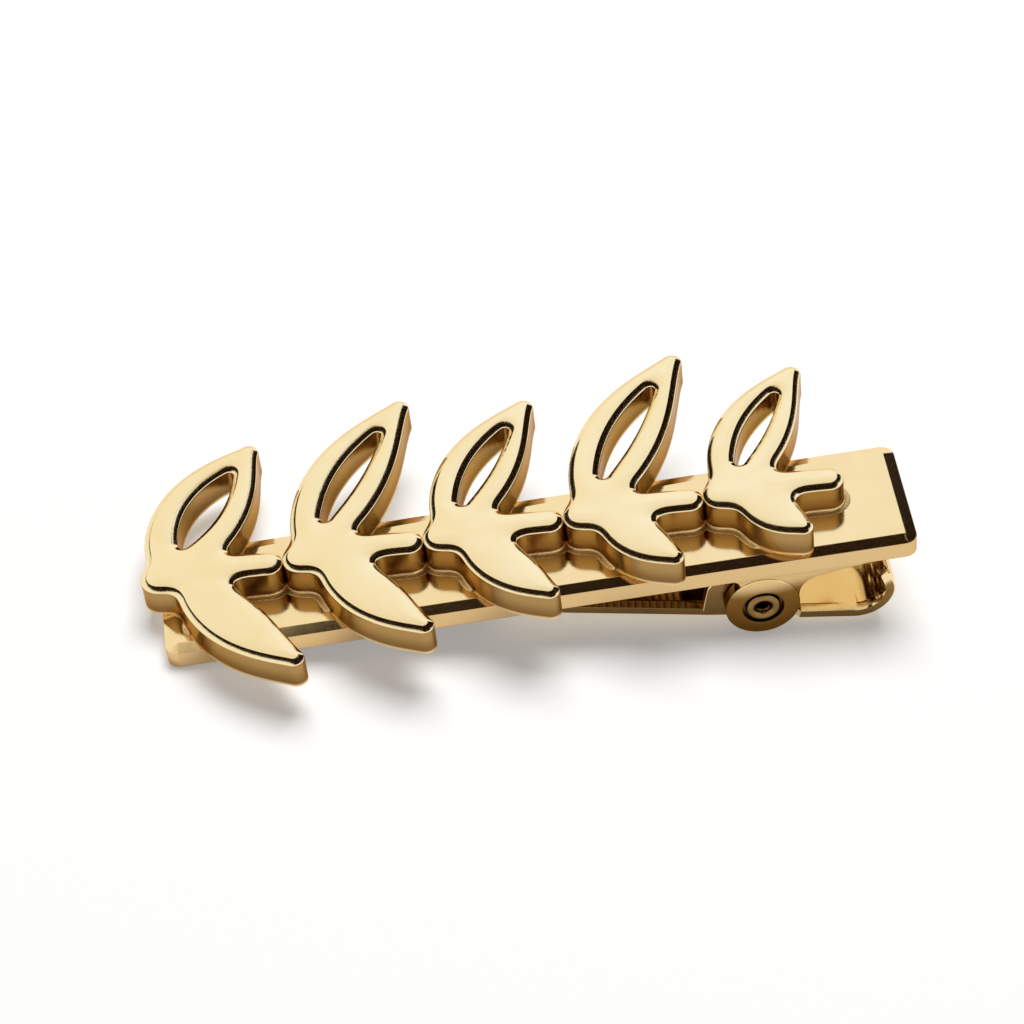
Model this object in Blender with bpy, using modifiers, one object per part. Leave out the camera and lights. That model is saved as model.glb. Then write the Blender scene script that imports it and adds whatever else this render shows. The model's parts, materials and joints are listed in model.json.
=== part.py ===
"""Pinch tie clip: a bevelled face bar that carries a soldered leaf branch, and a
sprung jaw lever on a hollow rivet behind it.

Every piece is drawn in the bar's own frame, in metres: X runs along the bar from
the hinge axis towards the thumb end, Y runs across it from the front long edge
to the back long edge, and Z runs from the bar's back face (Z = 0) to its front.
The whole clip then leans as it lies on a table: on its two hinge ears and on the
bar's far end.
"""

import math

import bmesh
import bpy
import numpy as np
from mathutils import Matrix, Vector

MM = 0.001

# Blender fills outlines and joins meshes best when they aren't tiny, so both are
# done on shapes enlarged this much, which then return to their real size.
ENLARGEMENT = 1000.0

# Face bar
BAR_LEFT = 38.5 * MM
BAR_RIGHT = 10.3 * MM
BAR_WIDTH = 8.9 * MM
BAR_THICKNESS = 1.5 * MM
BAR_BEVEL_WIDTH = 0.75 * MM
BAR_BEVEL_DROP = 0.22 * MM
BAR_CORNER_RADIUS = 0.5 * MM
BAR_FACE_CORNER_RADIUS = 0.1 * MM

# Hinge ears, bent back from the bar's long edges
HINGE_DEPTH = 2.5 * MM
EAR_RADIUS = 2.45 * MM
EAR_THICKNESS = 0.65 * MM
EAR_BOSS_HEIGHT = 0.25 * MM
EAR_FLARE_LENGTH = 7.3 * MM
EAR_FLARE_FILLET = 1.5 * MM
EAR_FLARE_WAIST = (5.5 * MM, 0.25 * MM)
EAR_WEB_TUCKS = ((-2.1 * MM, 2.0 * MM), (0.0, 2.5 * MM), (2.38 * MM, 2.38 * MM))
RELIEF_RADIUS = 0.5 * MM
RECESS_DEPTH = 0.35 * MM
RECESS_CLEARANCE = 0.21 * MM
FUSED_STEP = 0.03 * MM

# Grip teeth under the bar
TOOTH_PITCH = 0.5 * MM
TOOTH_HEIGHT = 0.2 * MM
TOOTH_ROW_START = 3.8 * MM
TOOTH_EDGE_INSET = 0.3 * MM
TOOTH_ROW_MARGIN = 0.4 * MM
TOOTH_ROOT = 0.5 * MM

# Hollow rivet
RIVET_RADIUS = 0.75 * MM
RIVET_BORE_RADIUS = 0.45 * MM
RIVET_ROLL_STEP = 0.09 * MM
RIVET_ROLL_RADIUS = 0.3 * MM
RIVET_HEAD_PROUD = 0.08 * MM
RIVET_SEAT_GAP = 0.03 * MM

# Jaw lever
JAW_LENGTH = 16.9 * MM
LEVER_DROP = 1.85 * MM
LEVER_THICKNESS = 0.9 * MM
THUMB_REACH = 8.87 * MM
CURL_RADIUS = 2.4 * MM
CURL_HEIGHT = 3.72 * MM
CURL_TIP_CORNER = 1.1 * MM
THUMB_INSET = 0.45 * MM
JAW_TIP_INSET = 1.5 * MM
LEVER_CORNER = 0.6 * MM
LUG_RADIUS = 1.9 * MM
LUG_THICKNESS = 0.7 * MM
LUG_HEEL_RADIUS = 0.85 * MM
LUG_HEEL_REACH = 2.8 * MM
LUG_HEEL_RISE = 0.5 * MM
LUG_TOE_REACH = 2.2 * MM
WINDOW_BACK = 1.6 * MM
WINDOW_FRONT = 2.4 * MM

# Torsion spring
WIRE_RADIUS = 0.175 * MM
COIL_TURNS = 4
COIL_END_TURN = 0.5
COIL_PITCH = 0.85 * MM
SPRING_LEG_LENGTH = 5.0 * MM

# Running and seating clearances
EAR_TO_LUG_GAP = 0.15 * MM
PIN_RUNNING_GAP = 0.05 * MM
COIL_TO_PIN_GAP = 0.075 * MM
COIL_TO_WINDOW_GAP = 0.35 * MM
JAW_CLOSED_GAP = 0.05 * MM
WIRE_SEAT_GAP = 0.05 * MM
SOLDER_GAP = 0.05 * MM

# Leaf branch soldered on the bar: one sprig per casting, from the far end to the
# thumb end. Each sprig has a stem, a pierced upper leaf and a plain lower leaf.
BRANCH_START = 39.5 * MM
SPRIG_PITCH = 9.15 * MM
SPRIG_THICKNESS = 2.15 * MM
SPRIG_BEVEL = 0.35 * MM
STEM_OFFSET = 0.2 * MM
STEM_START_RADIUS = 1.15 * MM
STEM_END_RADIUS = 1.0 * MM
STEM_ARCH = 0.5 * MM
CROTCH_FILLET = 1.3 * MM
UPPER_LEAF_RISES = (10.3 * MM, 12.4 * MM, 10.7 * MM, 12.9 * MM, 10.1 * MM)
UPPER_LEAF_BELLIES = (3.1 * MM, 2.8 * MM, 2.65 * MM, 2.8 * MM, 2.55 * MM)
UPPER_SLOT_RADII = (1.15 * MM, 0.85 * MM, 0.8 * MM, 0.85 * MM, 0.75 * MM)
UPPER_LEAF_ROOT = (1.9 * MM, 0.4 * MM)
UPPER_LEAF_LEAN = 0.56
UPPER_LEAF_BOW = 0.085
LOWER_LEAF_DROPS = (8.4 * MM, 7.3 * MM, 6.0 * MM, 4.7 * MM, 3.8 * MM)
LOWER_LEAF_BELLY = 1.35 * MM
LOWER_LEAF_BELLY_SHARE = 0.075
LOWER_LEAF_ROOT = (3.0 * MM, 0.0)
LOWER_LEAF_LEAN = 0.74
LOWER_LEAF_BOW = -0.11
LEAF_ROOT_RADIUS = 0.9 * MM
LEAF_TIP_RADIUS = 0.7 * MM
LEAF_BELLY_SKEW = 0.85
LEAF_TAPER = 1.1
SLOT_SPAN = (0.22, 0.80)
SLOT_END_RADIUS = 0.3 * MM
SLOT_TAPER = 0.9

# Facets
ROUND_SEGMENTS = 32
DISC_SEGMENTS = 64
MIDRIB_POINTS = 31
OUTLINE_GRID = 0.12 * MM
OUTLINE_TOLERANCE = 0.02 * MM
COIL_POINTS_PER_TURN = 12
WELD_DISTANCE = 0.0005 * MM

# Finish
SMOOTH_ANGLE = 35
POLISHED = 0.12
DRAWN = 0.3
PALE_GOLD = (0.80, 0.62, 0.34, 1.0)
SPRING_STEEL = (0.55, 0.52, 0.46, 1.0)

# Sizes that follow from the ones above
BAR_MIDLINE = BAR_WIDTH / 2
LUG_INSET = EAR_THICKNESS + EAR_TO_LUG_GAP
PIN_HOLE_RADIUS = RIVET_RADIUS + PIN_RUNNING_GAP
RIVET_HEAD_RADIUS = RIVET_BORE_RADIUS + RIVET_ROLL_STEP + 2 * RIVET_ROLL_RADIUS
RECESS_RADIUS = RIVET_HEAD_RADIUS + RECESS_CLEARANCE
COIL_RADIUS = RIVET_RADIUS + COIL_TO_PIN_GAP + WIRE_RADIUS
STRIP_TOP = LEVER_THICKNESS - LEVER_DROP
CURL_CENTRE = THUMB_REACH - CURL_RADIUS
TOOTH_ROW_END = JAW_LENGTH - TOOTH_ROW_MARGIN


def lever_angle():
    """Angle from the bar to the closed lever, with the jaw tip at the grip teeth."""
    rise = HINGE_DEPTH - TOOTH_HEIGHT - JAW_CLOSED_GAP
    drop = -STRIP_TOP
    return math.atan2(drop, JAW_LENGTH) + math.asin(rise / math.hypot(JAW_LENGTH, drop))


def resting_lean():
    """Lean of the bar when its far end and both ears touch the table."""
    span = math.hypot(BAR_LEFT, HINGE_DEPTH)
    return math.atan2(HINGE_DEPTH, BAR_LEFT) + math.asin(EAR_RADIUS / span)


def clear_scene():
    for old in list(bpy.data.objects):
        bpy.data.objects.remove(old, do_unlink=True)


def metal(name, colour, roughness):
    material = bpy.data.materials.new(name)
    material.use_nodes = True
    shader = material.node_tree.nodes["Principled BSDF"]
    shader.inputs["Base Color"].default_value = colour
    shader.inputs["Metallic"].default_value = 1.0
    shader.inputs["Roughness"].default_value = roughness
    return material


def arc(centre, radius, start, end, steps):
    """Points of an arc in a plane, with its angles in degrees."""
    points = []
    for step in range(steps + 1):
        angle = math.radians(start + (end - start) * step / steps)
        points.append((centre[0] + radius * math.cos(angle), centre[1] + radius * math.sin(angle)))
    return points


def rounded_rectangle(left, right, front, back, radius, steps=4):
    points = arc((right - radius, back - radius), radius, 0, 90, steps)
    points += arc((left + radius, back - radius), radius, 90, 180, steps)
    points += arc((left + radius, front + radius), radius, 180, 270, steps)
    points += arc((right - radius, front + radius), radius, 270, 360, steps)
    return points


def mesh_from(obj):
    """Evaluated mesh of an object that isn't placed yet; the object is removed."""
    bpy.context.view_layer.update()
    graph = bpy.context.evaluated_depsgraph_get()
    mesh = bpy.data.meshes.new_from_object(obj.evaluated_get(graph))
    bpy.data.objects.remove(obj, do_unlink=True)
    return mesh


def resized(mesh, factor):
    mesh.transform(Matrix.Scale(factor, 4))
    return mesh


def close_mesh(mesh):
    """Weld a mesh's loose caps and turn its faces outwards."""
    bm = bmesh.new()
    bm.from_mesh(mesh)
    bmesh.ops.remove_doubles(bm, verts=bm.verts, dist=WELD_DISTANCE)
    bmesh.ops.recalc_face_normals(bm, faces=bm.faces)
    bm.to_mesh(mesh)
    bm.free()
    return mesh


def outline_mesh(outlines, half_thickness, bevel=0.0):
    """A flat solid centred on Z = 0; further outlines are holes in the first."""
    curve = bpy.data.curves.new("outline", "CURVE")
    curve.dimensions = "2D"
    curve.fill_mode = "BOTH"
    curve.extrude = (half_thickness - bevel) * ENLARGEMENT
    curve.bevel_depth = bevel * ENLARGEMENT
    curve.bevel_resolution = 0
    curve.offset = -bevel * ENLARGEMENT
    for outline in outlines:
        spline = curve.splines.new("POLY")
        spline.points.add(len(outline) - 1)
        for point, place in zip(spline.points, outline):
            point.co = (place[0] * ENLARGEMENT, place[1] * ENLARGEMENT, 0.0, 1.0)
        spline.use_cyclic_u = True
    obj = bpy.data.objects.new("outline", curve)
    bpy.context.scene.collection.objects.link(obj)
    return close_mesh(resized(mesh_from(obj), 1 / ENLARGEMENT))


def side_solid(outline, near, far):
    """Solid whose outline is seen from the side (X and Z), from Y = near to Y = far."""
    mesh = outline_mesh([outline], (far - near) / 2)
    mesh.transform(Matrix.Translation((0, (near + far) / 2, 0)) @ Matrix.Rotation(math.radians(90), 4, "X"))
    return mesh


def plan_solid(outline, low, high):
    """Solid whose outline is seen from above (X and Y), from Z = low to Z = high."""
    mesh = outline_mesh([outline], (high - low) / 2)
    mesh.transform(Matrix.Translation((0, 0, (low + high) / 2)))
    return mesh


def end_solid(outline, left, right):
    """Solid whose outline is seen from the end (Y and Z), from X = left to X = right."""
    mesh = outline_mesh([outline], (right - left) / 2)
    upright = Matrix.Rotation(math.radians(90), 4, "Z") @ Matrix.Rotation(math.radians(90), 4, "X")
    mesh.transform(Matrix.Translation(((left + right) / 2, 0, 0)) @ upright)
    return mesh


def cylinder_across(x, z, radius, near, far, segments):
    """Cylinder whose axis runs across the bar."""
    mesh = bpy.data.meshes.new("cylinder")
    bm = bmesh.new()
    place = Matrix.Translation((x, (near + far) / 2, z)) @ Matrix.Rotation(math.radians(90), 4, "X")
    bmesh.ops.create_cone(bm, cap_ends=True, segments=segments, radius1=radius, radius2=radius,
                          depth=far - near, matrix=place)
    bm.to_mesh(mesh)
    bm.free()
    return mesh


def combine(base, tool, operation):
    """Boolean of two meshes, as a new mesh."""
    target = bpy.data.objects.new("base", resized(base, ENLARGEMENT))
    cutter = bpy.data.objects.new("tool", resized(tool, ENLARGEMENT))
    for obj in (target, cutter):
        bpy.context.scene.collection.objects.link(obj)
    modifier = target.modifiers.new(operation.lower(), "BOOLEAN")
    modifier.operation = operation
    modifier.solver = "EXACT"
    modifier.object = cutter
    result = mesh_from(target)
    bpy.data.objects.remove(cutter, do_unlink=True)
    return close_mesh(resized(result, 1 / ENLARGEMENT))


def loft(sections):
    """Closed solid through sections of equal point count, given as (outline, height)."""
    mesh = bpy.data.meshes.new("loft")
    bm = bmesh.new()
    rings = []
    for outline, height in sections:
        rings.append([bm.verts.new((x, y, height)) for x, y in outline])
    for lower, upper in zip(rings, rings[1:]):
        count = len(lower)
        for index in range(count):
            following = (index + 1) % count
            bm.faces.new((lower[index], lower[following], upper[following], upper[index]))
    bm.faces.new(list(reversed(rings[0])))
    bm.faces.new(rings[-1])
    bm.to_mesh(mesh)
    bm.free()
    return close_mesh(mesh)


def mirrored_across(mesh):
    """Copy of a mesh, mirrored in the bar's midline."""
    copy = mesh.copy()
    copy.transform(Matrix.Translation((0, BAR_WIDTH, 0)) @ Matrix.Diagonal((1, -1, 1, 1)))
    copy.flip_normals()
    return copy


def bar_blank():
    """The bar itself: rounded corners and a wide, shallow bevel round its front face."""
    inset = BAR_BEVEL_WIDTH
    outer = rounded_rectangle(-BAR_LEFT, BAR_RIGHT, 0, BAR_WIDTH, BAR_CORNER_RADIUS)
    inner = rounded_rectangle(-BAR_LEFT + inset, BAR_RIGHT - inset, inset, BAR_WIDTH - inset,
                              BAR_FACE_CORNER_RADIUS)
    return loft([(outer, 0.0), (outer, BAR_THICKNESS - BAR_BEVEL_DROP), (inner, BAR_THICKNESS)])


def ear_outline():
    """Web between the bar and the round ear, with its long flare towards the thumb end."""
    root = BAR_THICKNESS / 2
    notch_x = -EAR_RADIUS + RELIEF_RADIUS
    waist_x, waist_depth = EAR_FLARE_WAIST
    points = [(notch_x, root)]
    points += arc((notch_x, -RELIEF_RADIUS), RELIEF_RADIUS, 90, -20, 6)
    points += [(x, -depth) for x, depth in EAR_WEB_TUCKS]
    points += arc((EAR_RADIUS + EAR_FLARE_FILLET, -EAR_WEB_TUCKS[0][1]), EAR_FLARE_FILLET, 175, 105, 6)
    points += [(waist_x, -waist_depth), (EAR_FLARE_LENGTH, 0), (EAR_FLARE_LENGTH, root)]
    return points


def grip_teeth():
    """Comb of cross teeth that stands out from the bar's back face."""
    count = int((TOOTH_ROW_END - TOOTH_ROW_START) / TOOTH_PITCH)
    points = [(-TOOTH_ROW_START, TOOTH_ROOT)]
    for index in range(count):
        start = -TOOTH_ROW_START - index * TOOTH_PITCH
        points += [(start, FUSED_STEP), (start - TOOTH_PITCH / 2, -TOOTH_HEIGHT)]
    end = -TOOTH_ROW_START - count * TOOTH_PITCH
    points += [(end, FUSED_STEP), (end, TOOTH_ROOT)]
    return side_solid(points, TOOTH_EDGE_INSET, BAR_WIDTH - TOOTH_EDGE_INSET)


def face_bar_mesh():
    """Bar, grip teeth and both ears, bored and recessed for the rivet."""
    mesh = combine(bar_blank(), grip_teeth(), "UNION")
    web = side_solid(ear_outline(), -FUSED_STEP, EAR_THICKNESS - FUSED_STEP)
    disc = cylinder_across(0, -HINGE_DEPTH, EAR_RADIUS, -EAR_BOSS_HEIGHT, EAR_THICKNESS, DISC_SEGMENTS)
    ear = combine(disc, web, "UNION")
    for piece in (ear, mirrored_across(ear)):
        mesh = combine(mesh, piece, "UNION")
    reach = EAR_THICKNESS + EAR_BOSS_HEIGHT
    hole = cylinder_across(0, -HINGE_DEPTH, RIVET_RADIUS + RIVET_SEAT_GAP, -reach, BAR_WIDTH + reach,
                           ROUND_SEGMENTS)
    mesh = combine(mesh, hole, "DIFFERENCE")
    floor = RECESS_DEPTH - EAR_BOSS_HEIGHT
    recess = cylinder_across(0, -HINGE_DEPTH, RECESS_RADIUS, -reach, floor, ROUND_SEGMENTS)
    for piece in (recess, mirrored_across(recess)):
        mesh = combine(mesh, piece, "DIFFERENCE")
    return mesh


def rivet_mesh():
    """Hollow rivet, rolled over in the recess of each ear, turned about its axis."""
    recess_floor = RECESS_DEPTH - EAR_BOSS_HEIGHT
    underside = BAR_MIDLINE - recess_floor + RIVET_SEAT_GAP
    crown = BAR_MIDLINE + EAR_BOSS_HEIGHT + RIVET_HEAD_PROUD
    roll_centre = (RIVET_HEAD_RADIUS - RIVET_ROLL_RADIUS, crown - RIVET_ROLL_RADIUS)
    half = arc(roll_centre, RIVET_ROLL_RADIUS, 180, 0, 10)
    half += [(RIVET_HEAD_RADIUS, underside), (RIVET_RADIUS, underside)]
    half.insert(0, (RIVET_BORE_RADIUS, underside))
    outline = half + [(radius, -height) for radius, height in reversed(half)]
    mesh = bpy.data.meshes.new("rivet")
    count = len(outline)
    edges = [(index, (index + 1) % count) for index in range(count)]
    mesh.from_pydata([(radius, 0.0, height) for radius, height in outline], edges, [])
    obj = bpy.data.objects.new("rivet_profile", mesh)
    bpy.context.scene.collection.objects.link(obj)
    screw = obj.modifiers.new("turn", "SCREW")
    screw.steps = ROUND_SEGMENTS
    screw.render_steps = ROUND_SEGMENTS
    screw.use_merge_vertices = True
    screw.merge_threshold = WELD_DISTANCE
    turned = close_mesh(mesh_from(obj))
    place = Matrix.Translation((0, BAR_MIDLINE, -HINGE_DEPTH)) @ Matrix.Rotation(math.radians(90), 4, "X")
    turned.transform(place)
    return turned


def lever_side_outline():
    """Strip and J-shaped thumb curl seen from the side, about the hinge axis."""
    bottom = -LEVER_DROP
    centre = (CURL_CENTRE, bottom + CURL_RADIUS)
    tip = bottom + CURL_HEIGHT
    points = [(-JAW_LENGTH, bottom)]
    points += arc(centre, CURL_RADIUS, -90, 0, 10)
    points += [(THUMB_REACH, tip), (THUMB_REACH - LEVER_THICKNESS, tip)]
    points += arc(centre, CURL_RADIUS - LEVER_THICKNESS, 0, -90, 10)
    points += [(-JAW_LENGTH, STRIP_TOP)]
    return points


def lever_plan_outline():
    """Strip seen from above: wide thumb end, waist between the ears, tapered jaw."""
    shoulder = EAR_RADIUS + LEVER_CORNER
    corner = LEVER_CORNER
    front = [
        (-JAW_LENGTH, JAW_TIP_INSET + corner),
        (-JAW_LENGTH + corner, JAW_TIP_INSET),
        (-shoulder, LUG_INSET + FUSED_STEP),
        (shoulder, LUG_INSET + FUSED_STEP),
        (shoulder + corner / 2, THUMB_INSET),
        (THUMB_REACH + LEVER_THICKNESS, THUMB_INSET),
    ]
    back = [(x, BAR_WIDTH - y) for x, y in reversed(front)]
    return front + back


def lug_outline():
    """Upright lug of the lever, about the hinge axis, with its rounded heel."""
    base = STRIP_TOP - LEVER_THICKNESS / 2
    heel = (-LUG_HEEL_REACH, LUG_HEEL_RISE)
    points = [(-LUG_HEEL_REACH - LUG_HEEL_RADIUS, base)]
    points += arc(heel, LUG_HEEL_RADIUS, 180, 100, 6)
    points += arc((0, 0), LUG_RADIUS, 112, -12, 14)
    points += [(LUG_TOE_REACH, base)]
    return points


def lever_mesh():
    """Lever about the hinge axis, with its strip parallel to X."""
    strip = side_solid(lever_side_outline(), 0.0, BAR_WIDTH)
    below = -LEVER_DROP - LEVER_THICKNESS
    mesh = combine(strip, plan_solid(lever_plan_outline(), below, CURL_HEIGHT), "INTERSECT")
    end_view = rounded_rectangle(THUMB_INSET - FUSED_STEP, BAR_WIDTH - THUMB_INSET + FUSED_STEP,
                                 below - CURL_TIP_CORNER, CURL_HEIGHT - LEVER_DROP, CURL_TIP_CORNER)
    mesh = combine(mesh, end_solid(end_view, -JAW_LENGTH - LEVER_THICKNESS, THUMB_REACH + LEVER_THICKNESS),
                   "INTERSECT")
    coil_half = (COIL_TURNS + COIL_END_TURN) * COIL_PITCH / 2 + WIRE_RADIUS + COIL_TO_WINDOW_GAP / 2
    window = rounded_rectangle(-WINDOW_BACK, WINDOW_FRONT, BAR_MIDLINE - coil_half, BAR_MIDLINE + coil_half,
                               LEVER_CORNER)
    mesh = combine(mesh, plan_solid(window, below, 0.0), "DIFFERENCE")
    lug = side_solid(lug_outline(), LUG_INSET, LUG_INSET + LUG_THICKNESS)
    for piece in (lug, mirrored_across(lug)):
        mesh = combine(mesh, piece, "UNION")
    hole = cylinder_across(0, 0, PIN_HOLE_RADIUS, 0.0, BAR_WIDTH, ROUND_SEGMENTS)
    return combine(mesh, hole, "DIFFERENCE")


def tangent_angle(target, side):
    """Angle on the coil where a straight leg to target leaves it; side is 1 above, -1 below."""
    distance = math.hypot(target[0], target[1])
    return math.atan2(target[1], target[0]) + side * math.acos(COIL_RADIUS / distance)


def lever_point(x, z):
    """Point of the closed lever, in the bar's directions, about the hinge axis."""
    angle = lever_angle()
    return (x * math.cos(angle) + z * math.sin(angle), -x * math.sin(angle) + z * math.cos(angle))


def spring_route():
    """Centre line of the wire: the bar's leg, the coil, and the lever's leg."""
    bar_end = (SPRING_LEG_LENGTH, HINGE_DEPTH - WIRE_RADIUS - WIRE_SEAT_GAP)
    seat = STRIP_TOP + WIRE_RADIUS + WIRE_SEAT_GAP
    lever_knee = lever_point(WINDOW_FRONT, seat)
    lever_end = lever_point(SPRING_LEG_LENGTH, seat)
    start = tangent_angle(bar_end, 1)
    end = tangent_angle(lever_knee, -1) + 2 * math.pi * (COIL_TURNS + 1)
    turns = (end - start) / (2 * math.pi)
    near = BAR_MIDLINE - turns * COIL_PITCH / 2
    steps = int(round(turns * COIL_POINTS_PER_TURN))
    route = [(bar_end[0], near, bar_end[1])]
    for step in range(steps + 1):
        share = step / steps
        angle = start + (end - start) * share
        place = near + turns * COIL_PITCH * share
        route.append((COIL_RADIUS * math.cos(angle), place, COIL_RADIUS * math.sin(angle)))
    far = near + turns * COIL_PITCH
    route += [(lever_knee[0], far, lever_knee[1]), (lever_end[0], far, lever_end[1])]
    return [Vector((x, y, z - HINGE_DEPTH)) for x, y, z in route]


def least_coil_gap(route):
    """Least gap between neighbouring turns, measured on the route's points."""
    coil = route[1:-2]
    gaps = []
    for index, point in enumerate(coil):
        for other in coil[index + COIL_POINTS_PER_TURN // 2:]:
            gaps.append((point - other).length - 2 * WIRE_RADIUS)
    return min(gaps)


def spring_mesh():
    route = spring_route()
    print(f"spring: least gap between turns {least_coil_gap(route) / MM:.2f} mm")
    curve = bpy.data.curves.new("spring", "CURVE")
    curve.dimensions = "3D"
    curve.bevel_depth = WIRE_RADIUS
    curve.bevel_resolution = 2
    curve.use_fill_caps = True
    spline = curve.splines.new("POLY")
    spline.points.add(len(route) - 1)
    for point, place in zip(spline.points, route):
        point.co = (*place, 1.0)
    obj = bpy.data.objects.new("spring", curve)
    bpy.context.scene.collection.objects.link(obj)
    return close_mesh(mesh_from(obj))


def bowed_line(start, end, bow, count):
    """Points of a parabola from start to end; bow is its side step as a share of the span."""
    start, end = Vector(start), Vector(end)
    span = end - start
    middle = (start + end) / 2 + Vector((-span.y, span.x)) * bow
    points = []
    for step in range(count):
        share = step / (count - 1)
        points.append(start * (1 - share) ** 2 + middle * (2 * share * (1 - share)) + end * share ** 2)
    return points


def stroke_distance(grid, points, radii):
    """Signed distance from each place of a grid to a stroke of changing radius."""
    x, y = grid
    nearest = np.full(x.shape, np.inf)
    for start, end, start_radius, end_radius in zip(points, points[1:], radii, radii[1:]):
        step = end - start
        share = ((x - start.x) * step.x + (y - start.y) * step.y) / step.length_squared
        share = np.clip(share, 0.0, 1.0)
        away = np.hypot(x - start.x - share * step.x, y - start.y - share * step.y)
        nearest = np.minimum(nearest, away - start_radius - share * (end_radius - start_radius))
    return nearest


def filleted_union(first, second, fillet):
    """Union of two distance fields with a smooth fillet where they meet."""
    share = np.clip(0.5 + 0.5 * (second - first) / fillet, 0.0, 1.0)
    return second * (1 - share) + first * share - fillet * share * (1 - share)


def leaf_distance(grid, root, tip, bow, belly):
    """Leaf round a bowed midrib, widest a little below its middle."""
    shares = [step / (MIDRIB_POINTS - 1) for step in range(MIDRIB_POINTS)]
    radii = []
    for share in shares:
        swell = math.sin(math.pi * share ** LEAF_BELLY_SKEW) ** LEAF_TAPER if 0 < share < 1 else 0.0
        rib = LEAF_ROOT_RADIUS + (LEAF_TIP_RADIUS - LEAF_ROOT_RADIUS) * share
        radii.append(rib * (1 - swell) + belly * swell)
    return stroke_distance(grid, bowed_line(root, tip, bow, MIDRIB_POINTS), radii)


def slot_distance(grid, root, tip, bow, radius):
    """Slot that pierces a leaf along the middle of its midrib."""
    midrib = bowed_line(root, tip, bow, MIDRIB_POINTS)
    low, high = SLOT_SPAN
    points, radii = [], []
    for step, point in enumerate(midrib):
        share = step / (MIDRIB_POINTS - 1)
        if low <= share <= high:
            swell = math.sin(math.pi * (share - low) / (high - low)) ** SLOT_TAPER
            points.append(point)
            radii.append(SLOT_END_RADIUS + (radius - SLOT_END_RADIUS) * swell)
    return stroke_distance(grid, points, radii)


def sprig_distance(grid, index):
    """Distance field of one sprig, from its stem's start at the origin."""
    length = SPRIG_PITCH - SOLDER_GAP
    stem_end = (length - STEM_END_RADIUS, 0)
    stem = bowed_line((STEM_START_RADIUS, 0), stem_end, STEM_ARCH / length, MIDRIB_POINTS)
    radii = np.linspace(STEM_START_RADIUS, STEM_END_RADIUS, MIDRIB_POINTS)
    rise = UPPER_LEAF_RISES[index]
    upper = (UPPER_LEAF_ROOT, (UPPER_LEAF_ROOT[0] + UPPER_LEAF_LEAN * rise, rise), UPPER_LEAF_BOW)
    drop = LOWER_LEAF_DROPS[index]
    lower_tip = (LOWER_LEAF_ROOT[0] + LOWER_LEAF_LEAN * drop, -drop)
    lower_belly = LOWER_LEAF_BELLY + LOWER_LEAF_BELLY_SHARE * drop
    leaf = leaf_distance(grid, *upper, UPPER_LEAF_BELLIES[index])
    leaf = np.maximum(leaf, -slot_distance(grid, *upper, UPPER_SLOT_RADII[index]))
    lower = leaf_distance(grid, LOWER_LEAF_ROOT, lower_tip, LOWER_LEAF_BOW, lower_belly)
    branch = filleted_union(stroke_distance(grid, stem, radii), lower, CROTCH_FILLET)
    return filleted_union(branch, leaf, CROTCH_FILLET)


def zero_lines(field, xs, ys):
    """Closed lines where a field on a grid changes sign, one list of points each."""
    places, links = {}, {}
    inside = field < 0

    def crossing(first, second):
        key = (first, second)
        if key not in places:
            low, high = field[first[::-1]], field[second[::-1]]
            share = low / (low - high)
            places[key] = (xs[first[0]] + share * (xs[second[0]] - xs[first[0]]),
                           ys[first[1]] + share * (ys[second[1]] - ys[first[1]]))
        return key

    mixed = inside[:-1, :-1].astype(int) + inside[:-1, 1:] + inside[1:, :-1] + inside[1:, 1:]
    for row, column in zip(*np.nonzero((mixed > 0) & (mixed < 4))):
        a, b = (column, row), (column + 1, row)
        c, d = (column + 1, row + 1), (column, row + 1)
        sides = [(a, b), (b, c), (d, c), (a, d)]
        cut = [crossing(near, far) for near, far in sides if inside[near[::-1]] != inside[far[::-1]]]
        for first, second in zip(cut[::2], cut[1::2]):
            links.setdefault(first, []).append(second)
            links.setdefault(second, []).append(first)
    lines, used = [], set()
    for start in links:
        if start in used:
            continue
        line, here = [], start
        while here is not None:
            used.add(here)
            line.append(places[here])
            here = next((key for key in links[here] if key not in used), None)
        lines.append(line)
    return lines


def thinned(points, tolerance):
    """Open line without the points that lie within tolerance of its chords."""
    start, end = np.array(points[0]), np.array(points[-1])
    chord = end - start
    offsets = np.array(points) - start
    away = np.abs(offsets[:, 0] * chord[1] - offsets[:, 1] * chord[0]) / max(np.hypot(*chord), tolerance)
    far = int(np.argmax(away))
    if away[far] <= tolerance:
        return [points[0], points[-1]]
    return thinned(points[:far + 1], tolerance)[:-1] + thinned(points[far:], tolerance)


def closed_outline(line):
    """Outline with few points, thinned in two halves."""
    half = len(line) // 2
    first = thinned(line[:half + 1], OUTLINE_TOLERANCE)
    second = thinned(line[half:] + line[:1], OUTLINE_TOLERANCE)
    return first[:-1] + second[:-1]


def turning(points, anticlockwise):
    """The same outline, run in the asked direction."""
    following = points[1:] + points[:1]
    area = sum(here[0] * there[1] - there[0] * here[1] for here, there in zip(points, following))
    return points if (area > 0) == anticlockwise else points[::-1]


def sprig_outlines(index):
    """Outer outline of one sprig, then the slot in its upper leaf."""
    margin = UPPER_LEAF_BELLIES[index]
    xs = np.arange(-margin, SPRIG_PITCH + 2 * margin, OUTLINE_GRID)
    ys = np.arange(-LOWER_LEAF_DROPS[index] - margin, UPPER_LEAF_RISES[index] + margin, OUTLINE_GRID)
    lines = zero_lines(sprig_distance(np.meshgrid(xs, ys), index), xs, ys)
    outer, *holes = [closed_outline(line) for line in sorted(lines, key=len, reverse=True)]
    return [turning(outer, True)] + [turning(hole, False) for hole in holes]


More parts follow.
